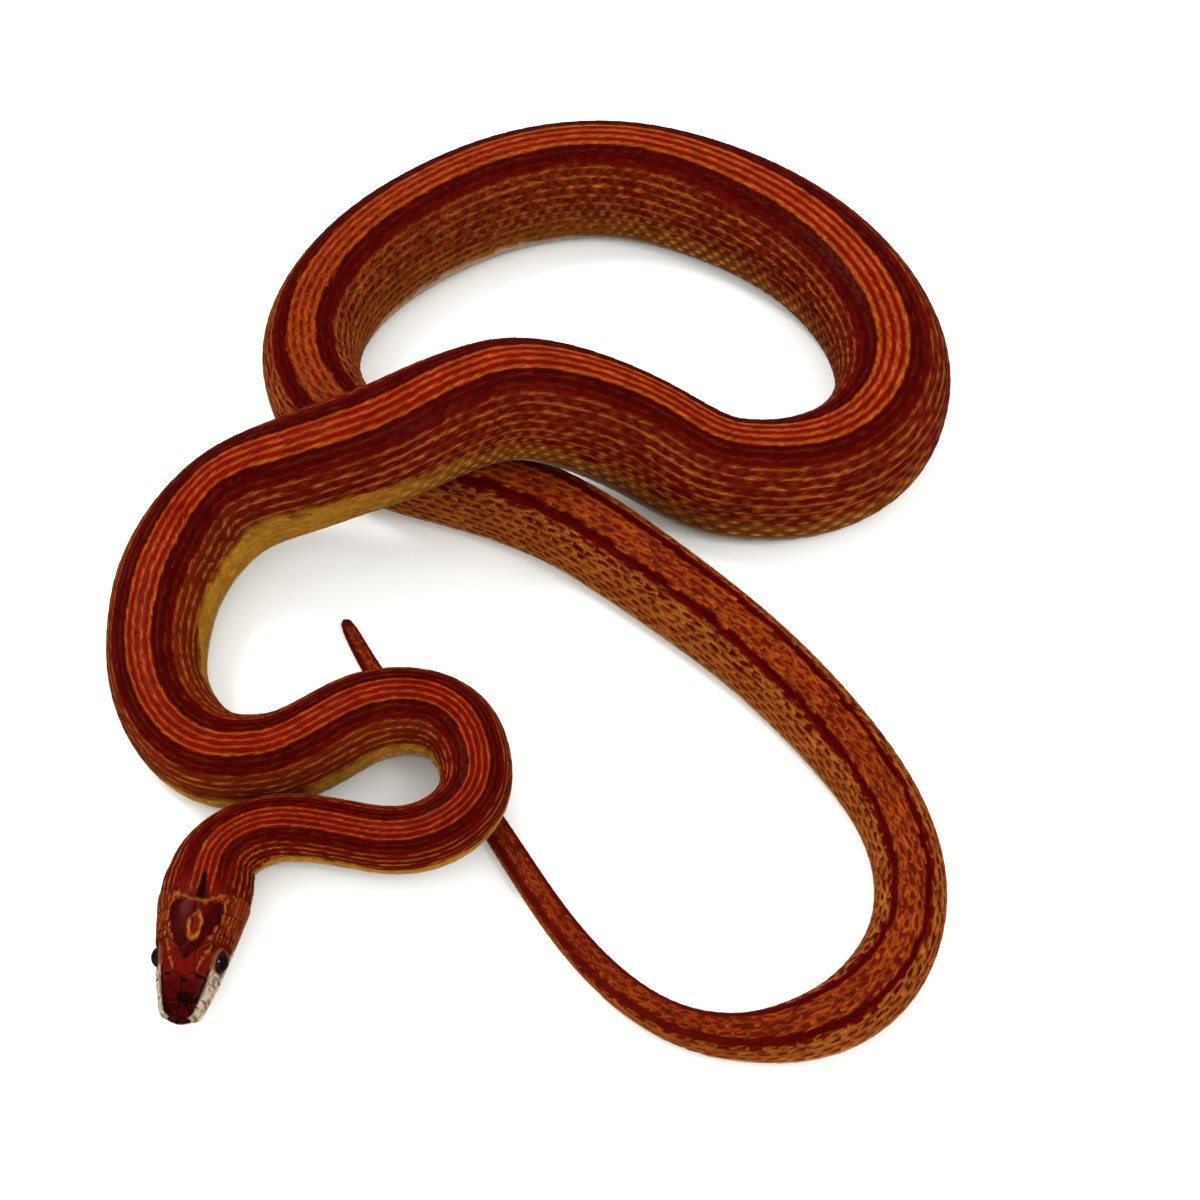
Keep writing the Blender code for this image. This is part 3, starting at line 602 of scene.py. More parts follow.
def coat_bands(station, arc, chance):
    """Where points of the coat lie, the edges of the bands there, and the points' share of each.

    Reach is the distance in arc from the middle of the back, and rows is that distance in rows
    of scales. A share rises from 0 to 1 over its band's edge, and the edges waver by noise and
    from scale to scale.
    """
    roll = flowing(ROLL, station)
    reach = np.abs(arc - roll)
    rows = reach * flowing(ROWS, station) / (2.0 * BELLY_EDGE)
    side = np.where(arc > roll, 0.0, SIDE_SHIFT)
    net = flowing(NET, station)
    light, dark = flowing(LIGHT_EDGE, station), flowing(DARK_EDGE, station)
    flank, ochre = flowing(FLANK_EDGE, station), flowing(OCHRE_EDGE, station)
    worn = reach + 0.012 * noise(station * 0.7, side, 22) + 0.03 * net * (chance - 0.5)
    behind_nape = step_between(17.5, 20.5, station)
    return SimpleNamespace(
        reach=reach, rows=rows, side=side, net=net, dark=dark, flank=flank, ochre=ochre,
        fine=noise(station * 1.7, rows * 3.0 + side, 21),
        tail=step_between(585.0, 610.0, station),
        in_dark=step_between(light - 0.006, light + 0.008, worn) * behind_nape,
        in_flank=step_between(dark - 0.012, dark + 0.012, worn),
        in_ochre=step_between(flank - 0.03, flank + 0.04, worn + 0.05 * (chance - 0.5)),
        pale=step_between(ochre - 0.03, ochre + 0.035, worn + 0.02 * (chance - 0.5)),
    )


def coat_field(station, bands):
    """Ground colours of the bands: red back, dark stripe, flank, and ochre or umber below it."""
    from_lateral = np.abs(bands.rows - LATERAL_ROW) + 0.3 * bands.fine
    lateral = fall_between(0.5, 0.9, from_lateral) * flowing(LATERAL, station)
    warm = step_between(60.0, 90.0, station) * fall_between(150.0, 175.0, station)
    rear = step_between(300.0, 400.0, station)
    ochre_share = bands.in_ochre * flowing(OCHRE_SHARE, station)
    low = step_between(bands.flank + 0.04, bands.ochre, bands.reach)
    return layered(
        plain(RED, bands.reach.shape),
        (WINE, 0.5 * fall_between(60.0, 130.0, station)),
        (NET_GROUND, bands.net),
        (MAROON, bands.in_dark * (1.0 - 0.6 * bands.tail)),
        (WINE, bands.in_dark * 0.7 * step_between(0.7, 1.0, bands.reach / bands.dark)),
        (FLANK, bands.in_flank),
        (MAROON, lateral),
        (RUST, 0.2 * warm * bands.in_flank),
        (OCHRE, ochre_share * (1.0 - rear)),
        (UMBER, ochre_share * rear),
        (HONEY, 0.5 * rear * (1.0 - bands.net) * low),
    )


def coat_lines(station, bands, field):
    """The field with light lines between its rows of scales, whole by the back, broken below it."""
    line = np.round(bands.rows - 0.5)
    by_back = line < 1.5
    from_line = np.abs(bands.rows - 0.5 - line) + 0.07 * bands.fine
    width = np.where(by_back, flowing(LINE_WIDTH, station), 0.14)
    strength = np.array(LINE_STRENGTH)[np.clip(line, 0, len(LINE_STRENGTH) - 1).astype(int)]
    breaks = noise(station * 0.8, line * 7.3 + bands.side, 23)
    shown = mix(np.where(by_back, 0.7, 0.15), 1.0, step_between(-0.5, 0.05, breaks))
    lines = strength * shown * fall_between(0.5 * width, 1.25 * width, from_line)
    tones = (TAN, bands.in_flank * 0.5), (OCHRE, bands.in_ochre * 0.7)
    line_paint = layered(plain(ORANGE, line.shape), *tones)
    return mix(field, line_paint, (lines * (1.0 - bands.pale))[..., None])


def coat_net(station, bands, along, across, chance, field):
    """The field with light rims round its scales, by the distance from each scale's middle."""
    wave = noise(station * 2.1, bands.rows * 3.7 + bands.side, 24)
    rim = 0.75 * np.maximum(np.abs(across), 0.9 * along) + 0.42 * wave
    rims = step_between(0.3, 0.5, rim) * mix(1.0, 0.6, chance) * (1.0 - 0.35 * bands.tail)
    rims = rims * np.maximum(1.0 - bands.in_dark, bands.in_flank)
    low = step_between(bands.ochre - 0.16, bands.ochre, bands.reach)
    rim_paint = layered(plain(BACK_RIM, low.shape), (FLANK_RIM, bands.in_flank), (LOW_RIM, low))
    return mix(field, rim_paint, rims[..., None])


def coat_marks(station, bands, along, across, chance, paint):
    """The paint with a pale bowed mark on each flank scale and a dark spot on each ochre one."""
    low = step_between(bands.dark + 0.13, bands.flank + 0.1, bands.reach)
    half = flowing(MARK_WIDTH, station) * mix(0.8, 1.3, chance)
    mark = fall_between(half + 0.05, half + 0.25, np.abs(across))
    mark *= fall_between(0.12, 0.26, np.abs(along - 0.3 + 0.8 * across**2))
    mark *= bands.in_flank * (chance > 0.12) * mix(0.12, 1.0, low) * flowing(MARKS, station)
    sandy = step_between(bands.flank - 0.08, bands.flank + 0.14, bands.reach)
    mark_paint = blend_paint(plain(TAN, bands.reach.shape), SAND, sandy)
    paint = mix(paint, mark_paint, mark[..., None])
    spot = fall_between(0.32, 0.68, np.hypot(across, along - 0.05)) * (chance > 0.12)
    spot *= bands.in_ochre * flowing(SPOTS, station) * mix(0.75, 1.0, chance)
    return blend_paint(paint, DARK_SPOT, spot * (1.0 - 0.6 * bands.pale))


def coat_paint(station, arc, along, across, chance):
    """Colours of the coat at a station and arc, on a scale whose own place runs from -1 to 1.

    Bands by reach from the back's middle, then light lines between the rows or a net of light
    rims, then marks and spots, and the pale edge of the belly over them all. Chance, one number
    a scale, varies all of them.
    """
    bands = coat_bands(station, arc, chance)
    field = coat_field(station, bands)
    lined = coat_lines(station, bands, field)
    netted = coat_net(station, bands, along, across, chance, field)
    paint = mix(lined, netted, bands.net[..., None])
    paint = coat_marks(station, bands, along, across, chance, paint)
    edge_share = 0.5 * step_between(380.0, 450.0, station)
    edge = blend_paint(plain(CREAM, bands.reach.shape), TAN, edge_share)
    return mix(paint, edge, bands.pale[..., None])


def head_reach(points):
    """How far out a head point lies: 1 on the surface, from the section's own formula."""
    back, across, height = points[..., 0], points[..., 1], points[..., 2]
    wide, level, rise, depth, _, roundness = section_sizes(back)
    above = height > level
    size = np.maximum(np.where(above, rise, depth), 0.02)
    power = np.where(above, roundness, BELLY_POWER)
    return (np.abs(across) / wide) ** power + (np.abs(height - level) / size) ** power


def head_outward(points):
    """Unit normals of the head at its points, from the slope of head_reach."""
    slopes = []
    for axis in range(3):
        step = np.zeros(3)
        step[axis] = 0.03
        slopes.append(head_reach(points + step) - head_reach(points - step))
    return unit(np.stack(slopes, axis=-1))


def snout_back(across, height):
    """Station at which the snout's surface passes a point seen from the front, by halving."""
    low, high = np.full(across.shape, -0.19), np.full(across.shape, 3.0)
    for _ in range(30):
        middle = 0.5 * (low + high)
        outside = head_reach(np.stack([middle, across, height], axis=-1)) > 1.0
        low, high = np.where(outside, middle, low), np.where(outside, high, middle)
    return high


def band(value, centre, half, soft):
    """1 within half of the centre, fading to 0 over the soft width."""
    return fall_between(half, half + soft, np.abs(value - centre))


def head_ground(station, arc, back, side, coarse, fine):
    """Clouded red ground with orange streaks along the temples, a dark snout and a red crown."""
    reach = np.abs(arc)
    stream = reach / 0.042 + 0.45 * noise(station * 0.5 + 11.0, arc * 9.0 + 20.0, 6) + 0.2 * fine
    number = np.round(stream)
    streaks = fall_between(0.1, 0.24, np.abs(stream - number)) * step_between(9.8, 11.0, back)
    streaks *= step_between(-0.5, 0.1, noise(station * 0.9, number * 5.1, 7))
    rusty = step_between(11.0, 13.0, back) * step_between(0.24, 0.34, reach)
    low = step_between(9.0, 12.0, back) * step_between(0.46, 0.56, reach)
    snout = fall_between(4.9, 5.6, back + 0.3 * side)
    crown = fall_between(7.0, 9.0, back) * (1.0 - snout)
    return layered(
        plain(HEAD_RED, back.shape),
        (HEAD_CLOUD, step_between(0.1, 0.6, coarse)),
        (TEMPLE_STREAK, 0.9 * streaks * step_between(0.1, 0.2, reach)),
        (RUST, 0.3 * rusty),
        (TEMPLE_LOW, 0.6 * low),
        (SNOUT, snout),
        (SNOUT_CLOUD, snout * step_between(0.0, 0.5, coarse + 0.4 * fine)),
        (CROWN, crown * fall_between(1.3, 1.6, side)),
    )


def spearhead(paint, back, aside, coarse, fine):
    """The paint with two dark lobes that meet before the crown, edged in orange round a ring.

    The lobes follow a line that runs out and back on each side. The ring is an ellipse a
    little to one side of the middle.
    """
    side = np.abs(aside)
    lobe_line, lobe_half = straight(LOBE_LINE, back), straight(LOBE_HALF, back)
    lobes = fall_between(lobe_half - 0.06, lobe_half + 0.1, np.abs(side - lobe_line))
    lobes *= step_between(7.7, 8.0, back) * fall_between(15.25, 15.5, back)
    outline = band(side - lobe_line, lobe_half + 0.22, 0.1, 0.1) * step_between(9.2, 10.2, back)
    outline *= fall_between(15.2, 15.6, back) * step_between(-0.5, 0.0, fine)
    arch = band(back, 15.35 + 0.1 * side**2, 0.14, 0.14) * fall_between(3.2, 3.7, side)
    within = step_between(8.3, 9.0, back) * fall_between(15.0, 15.3, back)
    island = np.hypot((back - 11.8) / 2.0, (aside + 0.35) / 0.92)
    ring = band(island, 0.87, 0.13, 0.12) * step_between(-0.75, -0.35, coarse + 0.5 * fine)
    return layered(
        paint,
        (SPEAR_EDGE, 0.8 * np.maximum(outline, arch)),
        (SPEAR_MIDDLE, within * (side < lobe_line)),
        (SPEAR_LOBE, lobes),
        (ISLAND, fall_between(0.75, 0.9, island)),
        (RING, ring * 0.95),
    )


def face_trim(paint, back, aside, reach, fine):
    """The paint with dark flecks by the eyes, orange brow lines, pale clouded lips and throat."""
    side = np.abs(aside)
    fleck = fall_between(0.7, 1.1, np.hypot((back - 7.7) / 0.3, aside / 0.62))
    corner = fall_between(0.7, 1.1, np.hypot((back - 5.3) / 0.24, (side - 2.1) / 0.6))
    brow = band(side, 1.72 + 0.4 * (back - 6.3), 0.08, 0.1) * band(back, 7.9, 1.6, 0.3)
    rim = band(reach, 0.262, 0.012, 0.012) * fall_between(5.9, 6.5, back)
    cheek = step_between(0.275, 0.3, reach + 0.01 * fine) * fall_between(6.0, 7.2, back)
    lip = step_between(0.49, 0.53, reach) * fall_between(9.5, 12.0, back)
    pale = np.maximum(cheek, lip)
    return layered(
        paint,
        (BLACKISH, np.maximum(fleck, corner)),
        (BROW, brow * 0.8),
        (LIP, pale),
        (LIP_CLOUD, 0.7 * pale * step_between(0.15, 0.6, fine)),
        (BLACKISH, 0.85 * rim * step_between(0.5, 0.9, back)),
        (mix(np.array(CREAM), np.array(BELLY), 0.4), step_between(0.615, 0.645, reach)),
    )


def head_paint(station, arc, across):
    """Colours of the head by station, arc and width across, every edge bent a little by noise."""
    coarse = noise(station * 0.8 + 5.0, across * 0.9 + 40.0, 3)
    fine = noise(station * 2.9, across * 2.9 + 30.0, 4)
    back = station + 0.16 * coarse + 0.1 * fine
    aside = across + 0.12 * noise(station * 1.2, across * 1.3 + 9.0, 5) + 0.07 * fine
    paint = head_ground(station, arc, back, np.abs(aside), coarse, fine)
    paint = spearhead(paint, back, aside, coarse, fine)
    return face_trim(paint, back, aside, np.abs(arc), fine)


def over_body(body, station, arc, along, across, chance):
    """Head colours ahead of the nape, coat colours behind it and a dark dash on the nape itself."""
    sideways = body.offsets(station, arc)[0]
    nape = step_between(16.2, 17.6, station + 0.1 * np.abs(sideways))
    coat = coat_paint(station, arc, along, across, chance)
    paint = mix(head_paint(station, arc, sideways), coat, nape[..., None])
    half = straight(DASH_HALF, station)
    dash = fall_between(half - 0.05, half + 0.15, np.abs(sideways + 0.25))
    dash = dash * (np.abs(arc) < 0.5) * band(station, 17.7, 1.9, 0.2)
    return blend_paint(paint, NAPE_DASH, dash)


def mouth_arcs(body, station):
    """Arc of the mouth line at each station, from the section's height falling towards the belly."""
    half = len(body.arcs) // 2
    places = []
    for place in station:
        row = int(np.clip(np.searchsorted(body.stations, place), 0, len(body.stations) - 1))
        heights = body.height[row, half:]
        places.append(np.interp(-float(flowing(MOUTH_LINE, place)), -heights, body.arcs[half:]))
    return np.clip(np.array(places), 0.55, 0.9)


def skin_arcs(body, stations, columns):
    """Arcs of the skin's columns: even on the body, crowded round the mouth line on the head."""
    share = np.linspace(0.0, 1.0, columns // 2 + 1)
    mouth = mouth_arcs(body, np.minimum(stations, 19.0))
    even = eased(((15.0, 0.0), (19.0, 1.0)), stations)
    rows = []
    for place, evenness in zip(mouth, even):
        crowded = np.interp(share, [0.0, 0.42, 0.68, 1.0], [0.0, place - 0.045, place + 0.045, 1.0])
        rows.append(mix(crowded, share, evenness))
    upper = np.array(rows)
    return np.concatenate([-upper[:, :0:-1], upper[:, :-1]], axis=1)


def eye_hollow(station, arc, body):
    """How far the head is sunk at the eye: a smooth round hollow about the eye's middle."""
    across, height = body.offsets(station, arc)
    away = np.hypot(station - EYE_MIDDLE[0], height - EYE_MIDDLE[2])
    return fall_between(0.75 * EYE_RADIUS, 1.08 * EYE_RADIUS, away) * (np.abs(across) > 2.4)


def make_skin(body, finish):
    """One closed skin from snout to tail tip, with the mouth line and the eye hollows sunk in."""
    tip = -0.2 + 1.4 * np.linspace(0.0, 1.0, 22) ** 2
    head = np.arange(1.3, 24.0, 0.13)
    rest = np.arange(24.0, body.length - 3.0, 2.0)
    end = body.length + 0.3 - 3.3 * np.linspace(1.0, 0.0, 14) ** 1.6
    stations = np.concatenate([tip, head, rest, end])
    columns = 180
    arcs = skin_arcs(body, stations, columns)
    station = np.broadcast_to(stations[:, None], arcs.shape)
    height = body.offsets(station, arcs)[1]
    from_mouth = height - flowing(MOUTH_LINE, np.minimum(station, 19.2))
    groove = np.exp(-((from_mouth / 0.1) ** 2)) * (station < 18.0)
    depth = -flowing(SKIN_DEPTH, station) - 0.2 * groove - 0.9 * eye_hollow(station, arcs, body)
    points = body.place(station, arcs, depth)
    points[0] = points[0].mean(axis=0)
    points[-1] = points[-1].mean(axis=0)
    middle = np.zeros(arcs.shape)
    # The skin is darkened as painted shade in the gaps between scales and plates.
    paint = over_body(body, station, arcs, middle, middle, middle + 0.5) * SKIN_GAP_SHADE
    # The mouth line's groove is darkened as painted shade in the crease.
    paint = paint * (1.0 - 0.85 * groove[..., None])
    map_along = np.interp(station, [-0.2, 24.0, body.length + 0.3], [0.01, 0.3, 0.99])
    bake = np.stack([map_along, 0.01 + 0.98 * (arcs + 1.0) / 2.0], axis=-1)
    quads = quads_of_grid(len(stations), columns, wrap=True)
    return mesh_piece("skin", points, quads, paint, bake, finish, "body_scales")


def inside_outline(outline, first, second):
    """Whether points lie inside an outline, by the count of edges crossed on the way out."""
    crossed = np.zeros(np.shape(first), bool)
    for (x0, y0), (x1, y1) in zip(outline, (*outline[1:], outline[0])):
        spans = (y0 > second) != (y1 > second)
        meets = first < x0 + (second - y0) * (x1 - x0) / (y1 - y0 + 1e-12)
        crossed ^= spans & meets
    return crossed


def under_plates(station, arc):
    """Which scales would lie under head plates or in the mouth."""
    reach = np.abs(arc)
    hidden = station < 10.5
    for outline in (*CROWN_PLATES, *CHEEK_PLATES):
        corners = np.array(outline)
        middle = corners.mean(axis=0)
        wider = middle + (corners - middle) * 1.12
        hidden |= inside_outline(wider.tolist(), station, reach)
    hidden |= (station < 17.4) & (reach > flowing(UPPER_LIP_EDGE, np.minimum(station, 17.1)) - 0.02)
    return hidden


def lay_lines(body, start):
    """Stations of the scale lines from start to the tail tip, a pitch apart."""
    places = np.linspace(start, body.length - 1.4, 9000)
    run = np.concatenate([[0.0], np.cumsum(np.diff(places) / flowing(PITCH, places[:-1]))])
    return np.interp(np.arange(int(run[-1])), run, places)


def lay_scales(body):
    """Centres of all back and side scales: staggered rows that keep to the roll of the body."""
    row, line = np.meshgrid(np.arange(-14, 15), lay_lines(body, 10.0))
    pitch = flowing(PITCH, line)
    station = line + 0.5 * pitch * (row % 2)
    spacing = 2.0 * BELLY_EDGE / flowing(ROWS, station)
    kept = (np.abs(row) * spacing < BELLY_EDGE - 0.3 * spacing) & (station < body.length - 1.2)
    station, row, pitch, spacing = station[kept], row[kept], pitch[kept], spacing[kept]
    shown = ~under_plates(station, flowing(ROLL, station) + row * spacing)
    station, row, pitch, spacing = station[shown], row[shown], pitch[shown], spacing[shown]
    order = np.argsort(station, kind="stable")
    return station[order], row[order], pitch[order], spacing[order]


def scale_rise(a, b, row, thick, depth):
    """Rise of the scales over the body: a slope towards the free tip, a shallow bow across.

    The middle rows have a faint keel too, and every rim is tucked into the skin.
    """
    keel = 0.012 * np.exp(-((b / 0.25) ** 2)) * (np.abs(row)[:, None] < 6)
    top = thick * (-0.10 + 0.052 * (a + 1.0) + 0.035 * (1.0 - b * b) + keel)
    tucked = np.minimum(-depth - 0.05, top - 0.08)
    return np.where(on_rim(a, b), tucked, np.maximum(top, -depth + 0.02))


def make_scales(body, finish):
    """Overlapping scales, each a bowed leaf of six by eight faces with its rim tucked into the skin.

    Half width over the leaf: cosine of a quarter turn times along, to the power 0.7.
    """
    station, row, pitch, spacing = lay_scales(body)
    draw = np.random.default_rng(11)
    chance, shade = draw.uniform(size=len(station)), draw.uniform(-1.0, 1.0, len(station))
    a, b, leaf = leaf_grid(SCALE_ALONG, SCALE_ACROSS)
    width = np.cos(0.5 * math.pi * a * 0.999) ** 0.7
    place = np.minimum(station[:, None] + a * 0.8 * pitch[:, None], body.length)
    step = 2.0 * BELLY_EDGE / flowing(ROWS, place)
    arc = flowing(ROLL, place) + row[:, None] * step + b * width * 0.6 * spacing[:, None]
    thick = np.minimum(1.0, spacing * body.round_at(station) / 1.25)[:, None]
    thick = thick * mix(0.45, 0.9, step_between(20.0, 70.0, place))
    rise = scale_rise(a, b, row, thick, flowing(SKIN_DEPTH, place))
    points = body.place(place, arc, rise)
    own = [np.broadcast_to(value, arc.shape) for value in (a, b * width, chance[:, None])]
    paint = over_body(body, place, arc, *own)
    paint = paint * (1.0 + 0.14 * shade[:, None, None])
    # Each scale's tucked rim is darkened as painted shade under its neighbours.
    paint = np.where(on_rim(a, b)[..., None], paint * SCALE_RIM_SHADE, paint)
    limits = np.searchsorted(station, [*SCALE_PIECE_STARTS, body.length])
    for number, (first, last) in enumerate(zip(limits, limits[1:]), 1):
        slot = "tail_scales" if number == len(SCALE_PIECE_STARTS) else "body_scales"
        root = station[first:last]
        u = 0.01 + 0.98 * (root - root[0]) / (root[-1] - root[0])
        v = 0.5 + 0.49 * row[first:last] / 14.0
        bake = np.stack([u[:, None] + 0.0015 * a, v[:, None] + 0.0015 * b], axis=-1)
        quads = repeat_quads(leaf, a.size, last - first)
        mesh_piece(f"scales_{number}", points[first:last], quads, paint[first:last], bake, finish, slot)


def lay_scutes(body):
    """Station, middle and half width of the belly scutes, one a scale line and pairs at the tail."""
    lines = lay_lines(body, 11.0)
    trunk, tail = lines[lines < VENT], lines[lines >= VENT]
    station = np.concatenate([trunk, tail, tail + 0.5 * flowing(PITCH, tail)])
    middle = np.repeat([0.0, 0.5, -0.5], [len(trunk), len(tail), len(tail)])
    half = np.repeat([1.0, 0.52], [len(trunk), 2 * len(tail)])
    return station, middle[:, None], half[:, None]


def belly_paint(place, arc, middle, b):
    """Colours of the scutes: clouded cream, with the outer ends in the colours of the flank."""
    clouds = step_between(0.1, 0.7, noise(place * 0.7, arc * 12.0 + 50.0, 31))
    ends = step_between(0.7, 1.0, np.abs(b))
    paint = plain(BELLY, arc.shape) * (1.0 - 0.12 * np.abs(b)[..., None] ** 3)
    paint = layered(paint, (BELLY_CLOUD, 0.4 * clouds), (CREAM, 0.8 * ends))
    own = np.zeros(arc.shape)
    flank_paint = coat_paint(place, arc - 2.0 * (arc > 1.0), own, own, own + 0.5)
    outer_end = 0.85 * step_between(0.72, 0.92, np.abs(b)) * (middle * b >= 0.0)
    return mix(paint, flank_paint, outer_end[..., None])


def make_belly(body, finish):
    """Belly scutes, each a shallow bowed plate across the belly with its rim tucked into the skin."""
    station, middle, half = lay_scutes(body)
    a, b, leaf = leaf_grid(SCUTE_ALONG, SCUTE_ACROSS)
    pitch = flowing(PITCH, station)[:, None]
    reach = 1.0 - BELLY_EDGE + 0.012
    shape = 1.0 - 0.1 * step_between(0.6, 1.0, np.abs(b))
    place = np.minimum(station[:, None] + a * 0.66 * pitch * shape, body.length)
    arc = 1.0 + flowing(ROLL, place) + (middle + half * b) * reach
    depth = flowing(SKIN_DEPTH, place)
    top = np.maximum(np.minimum(-0.10 + 0.045 * (a + 1.0), -0.012), -depth + 0.015)
    points = body.place(place, arc, np.where(on_rim(a, b), -depth - 0.04, top))
    paint = belly_paint(place, arc, middle, b)
    # Each scute's tucked rim is darkened as painted shade under its neighbours.
    paint = np.where(on_rim(a, b)[..., None], paint * SCUTE_RIM_SHADE, paint)
    first, last = station.min() - 2.0, station.max() + 2.0
    u = (station[:, None] + 0.45 * pitch * a - first) / (last - first)
    v = 0.5 + 0.49 * (middle + half * b) / 1.02
    quads = repeat_quads(leaf, a.size, len(station))
    mesh_piece("belly_scutes", points, quads, paint, np.stack([u, v], axis=-1), finish, "body_scales")


def rounded(corners, step):
    """A closed outline at even steps, its corners eased by a running mean."""
    runs = np.linalg.norm(np.roll(corners, -1, axis=0) - corners, axis=1)
    run = np.concatenate([[0.0], np.cumsum(runs)])
    closed = np.vstack([corners, corners[:1]])
    wanted = np.linspace(0.0, run[-1], max(24, int(run[-1] / step)), endpoint=False)
    points = np.column_stack([np.interp(wanted, run, closed[:, axis]) for axis in (0, 1)])
    for _ in range(2):
        points = (np.roll(points, 1, axis=0) + points + np.roll(points, -1, axis=0)) / 3.0
    return points


# Rings of a plate from its rim to its middle: size, and rise over the head
PLATE_RINGS = (
    (1.0, -0.16), (1.0, -0.04), (0.975, 0.02), (0.93, 0.055), (0.84, 0.075), (0.68, 0.085),
    (0.48, 0.09), (0.24, 0.092), (0.0, 0.092),
)
PLATE_SIZES, PLATE_RISES = np.array(PLATE_RINGS).T
# The tone of each kind of plate near its rim, and its strength
RIM_TONES = {
    "internasal": (BLACKISH, 0.85),
    "prefrontal": (BLACKISH, 0.9),
    "supraocular": ((0.34, 0.08, 0.01), 0.3),
    "parietal": (MAROON, 0.5),
    "frontal": (MAROON, 0.5),
    "cheek": ((0.05, 0.006, 0.004), 0.6),
    "lip": ((0.15, 0.07, 0.045), 0.65),
    "rostral": (BLACKISH, 0.6),
    "chin": ((0.4, 0.3, 0.2), 0.5),
}


def plate_rings(outline):
    """Flat rings of a plate, each the rounded rim drawn in towards the middle by a seam and a size."""
    rim = rounded(np.asarray(outline, float), 0.13)
    middle = rim.mean(axis=0)
    arms = rim - middle
    inset = 1.0 - SEAM / np.linalg.norm(arms, axis=1)[:, None]
    return np.array([middle + arms * inset * size for size in PLATE_SIZES])


def plate_paint(paint, kind):
    """Colours over a plate with the tone of its kind near its rim."""
    share = np.zeros(len(PLATE_RINGS))
    share[:4] = (1.0, 1.0, 0.85, 0.3)
    tone, strength = RIM_TONES[kind]
    return blend_paint(paint, tone, np.broadcast_to(strength * share[:, None], paint.shape[:2]))


def laid_plate(body, outline, sign, kind):
    """Points, colours and map of one plate given by station and arc."""
    corners = np.array(outline, float)
    around = float(body.round_at(corners[:, 0].mean()))
    flat = plate_rings(corners * (1.0, around))
    station, arc = flat[..., 0], sign * flat[..., 1] / around
    rise = PLATE_RISES[:, None] - 0.9 * eye_hollow(station, arc, body)
    across, height = body.offsets(station, arc)
    paint = plate_paint(head_paint(station, arc, across), kind)
    if kind == "cheek":
        from_nostril = np.hypot((station - NOSTRIL[0]) / 1.25, height - NOSTRIL[1])
        pit = fall_between(0.12, 0.3, from_nostril)
        rise = rise - 0.3 * pit
        # The nostril's hollow is painted near black as painted shade in the opening.
        paint = blend_paint(paint, NOSTRIL_SHADE, pit)
    bake = np.stack([0.02 + 0.96 * np.clip(station / 17.6, 0.0, 1.0), 0.5 + 0.49 * arc], axis=-1)
    return body.place(station, arc, rise), paint, bake


def snout_plate(body):
    """Points, colours and map of the plate on the snout's tip, seen from the front."""
    flat = plate_rings(np.array(ROSTRAL))
    across, height = flat[..., 0], flat[..., 1]
    points = np.stack([snout_back(across, height), across, height], axis=-1)
    points = points + head_outward(points) * PLATE_RISES[:, None, None]
    clouds = noise(across * 2.6 + 8.0, height * 2.6 + 8.0, 8)
    paint = layered(
        plain(SNOUT_TIP, across.shape),
        (BLACKISH, step_between(0.0, 0.5, clouds)),
        (LIP, step_between(0.1, 0.5, 2.45 - height + 0.25 * clouds)),
    )
    bake = np.stack([0.01 + 0.002 * height, 0.5 + 0.1 * across], axis=-1)
    return body.in_place(points), plate_paint(paint, "rostral"), bake


def lip_outlines(body, cuts, gap, other):
    """Outlines along the lip between the mouth line and the other edge, parted at the cuts."""
    outlines = []
    for front, hind in zip(cuts, cuts[1:]):
        ends = np.linspace(front, hind, 5)
        mouth = mouth_arcs(body, ends) + gap
        edge = flowing(other, ends)
        outlines.append([*zip(ends, mouth), *zip(ends[::-1], edge[::-1])])
    return outlines


# Rings of an eye's rim, from the ball out: share of the way, and bulge over it
LID_RINGS = ((-0.2, -0.28), (0.0, 0.0), (0.1, 0.07), (0.25, 0.1), (0.5, 0.09), (0.78, 0.05), (1.0, -0.1))


def lid_ring(body, sign):
    """The rim of the eye: from a line on the ball, drawn lower under the brow, out to the cheek."""
    turn = 2.0 * math.pi * np.arange(72) / 72
    axis = unit(np.array(EYE_AXIS))
    upward = unit(np.array([0.0, 0.0, 1.0]) - axis * axis[2])
    level = np.cross(upward, axis)
    spoke = np.cos(turn)[:, None] * upward + np.sin(turn)[:, None] * level
    brow = (0.5 + 0.5 * np.cos(turn)) ** 1.5
    opening = np.radians(mix(77.0, 52.0, brow))[:, None]
    middle = np.array(EYE_MIDDLE)
    inner = middle + EYE_RADIUS * 1.005 * (np.sin(opening) * spoke + np.cos(opening) * axis)
    outer = middle + EYE_RADIUS * (1.36 * spoke + 0.1 * axis)
    _, widest, _, _, _, roundness = section_sizes(outer[:, 0])
    onto_head = head_reach(outer) ** (-1.0 / roundness)
    outer[:, 1] *= onto_head
    outer[:, 2] = widest + (outer[:, 2] - widest) * onto_head
    rings = []
    for share, bulge in LID_RINGS:
        ring = mix(inner, outer, share)
        rings.append(ring + unit(ring - middle) * bulge * (1.0 + 0.8 * brow[:, None] * (share > 0.0)))
    points = np.array(rings) * (1.0, sign, 1.0)
    arc = sign * np.interp(-points[..., 2], [-7.0, -4.15, -1.0], [0.2, 0.42, 0.62])
    paint = head_paint(points[..., 0], arc, points[..., 1])
    paint = mix(paint, np.array(LID), 0.5)
    paint[2:4] = mix(paint[2:4], np.array(LID_CREST), 0.5)
    # The lid's inner edge against the ball is painted near black as painted shade in the crease.
    paint[:2] = LID_CREASE_SHADE
    bake = np.stack([0.02 + 0.96 * points[..., 0] / 17.6, 0.5 + 0.49 * arc], axis=-1)
    return body.in_place(points), paint, bake


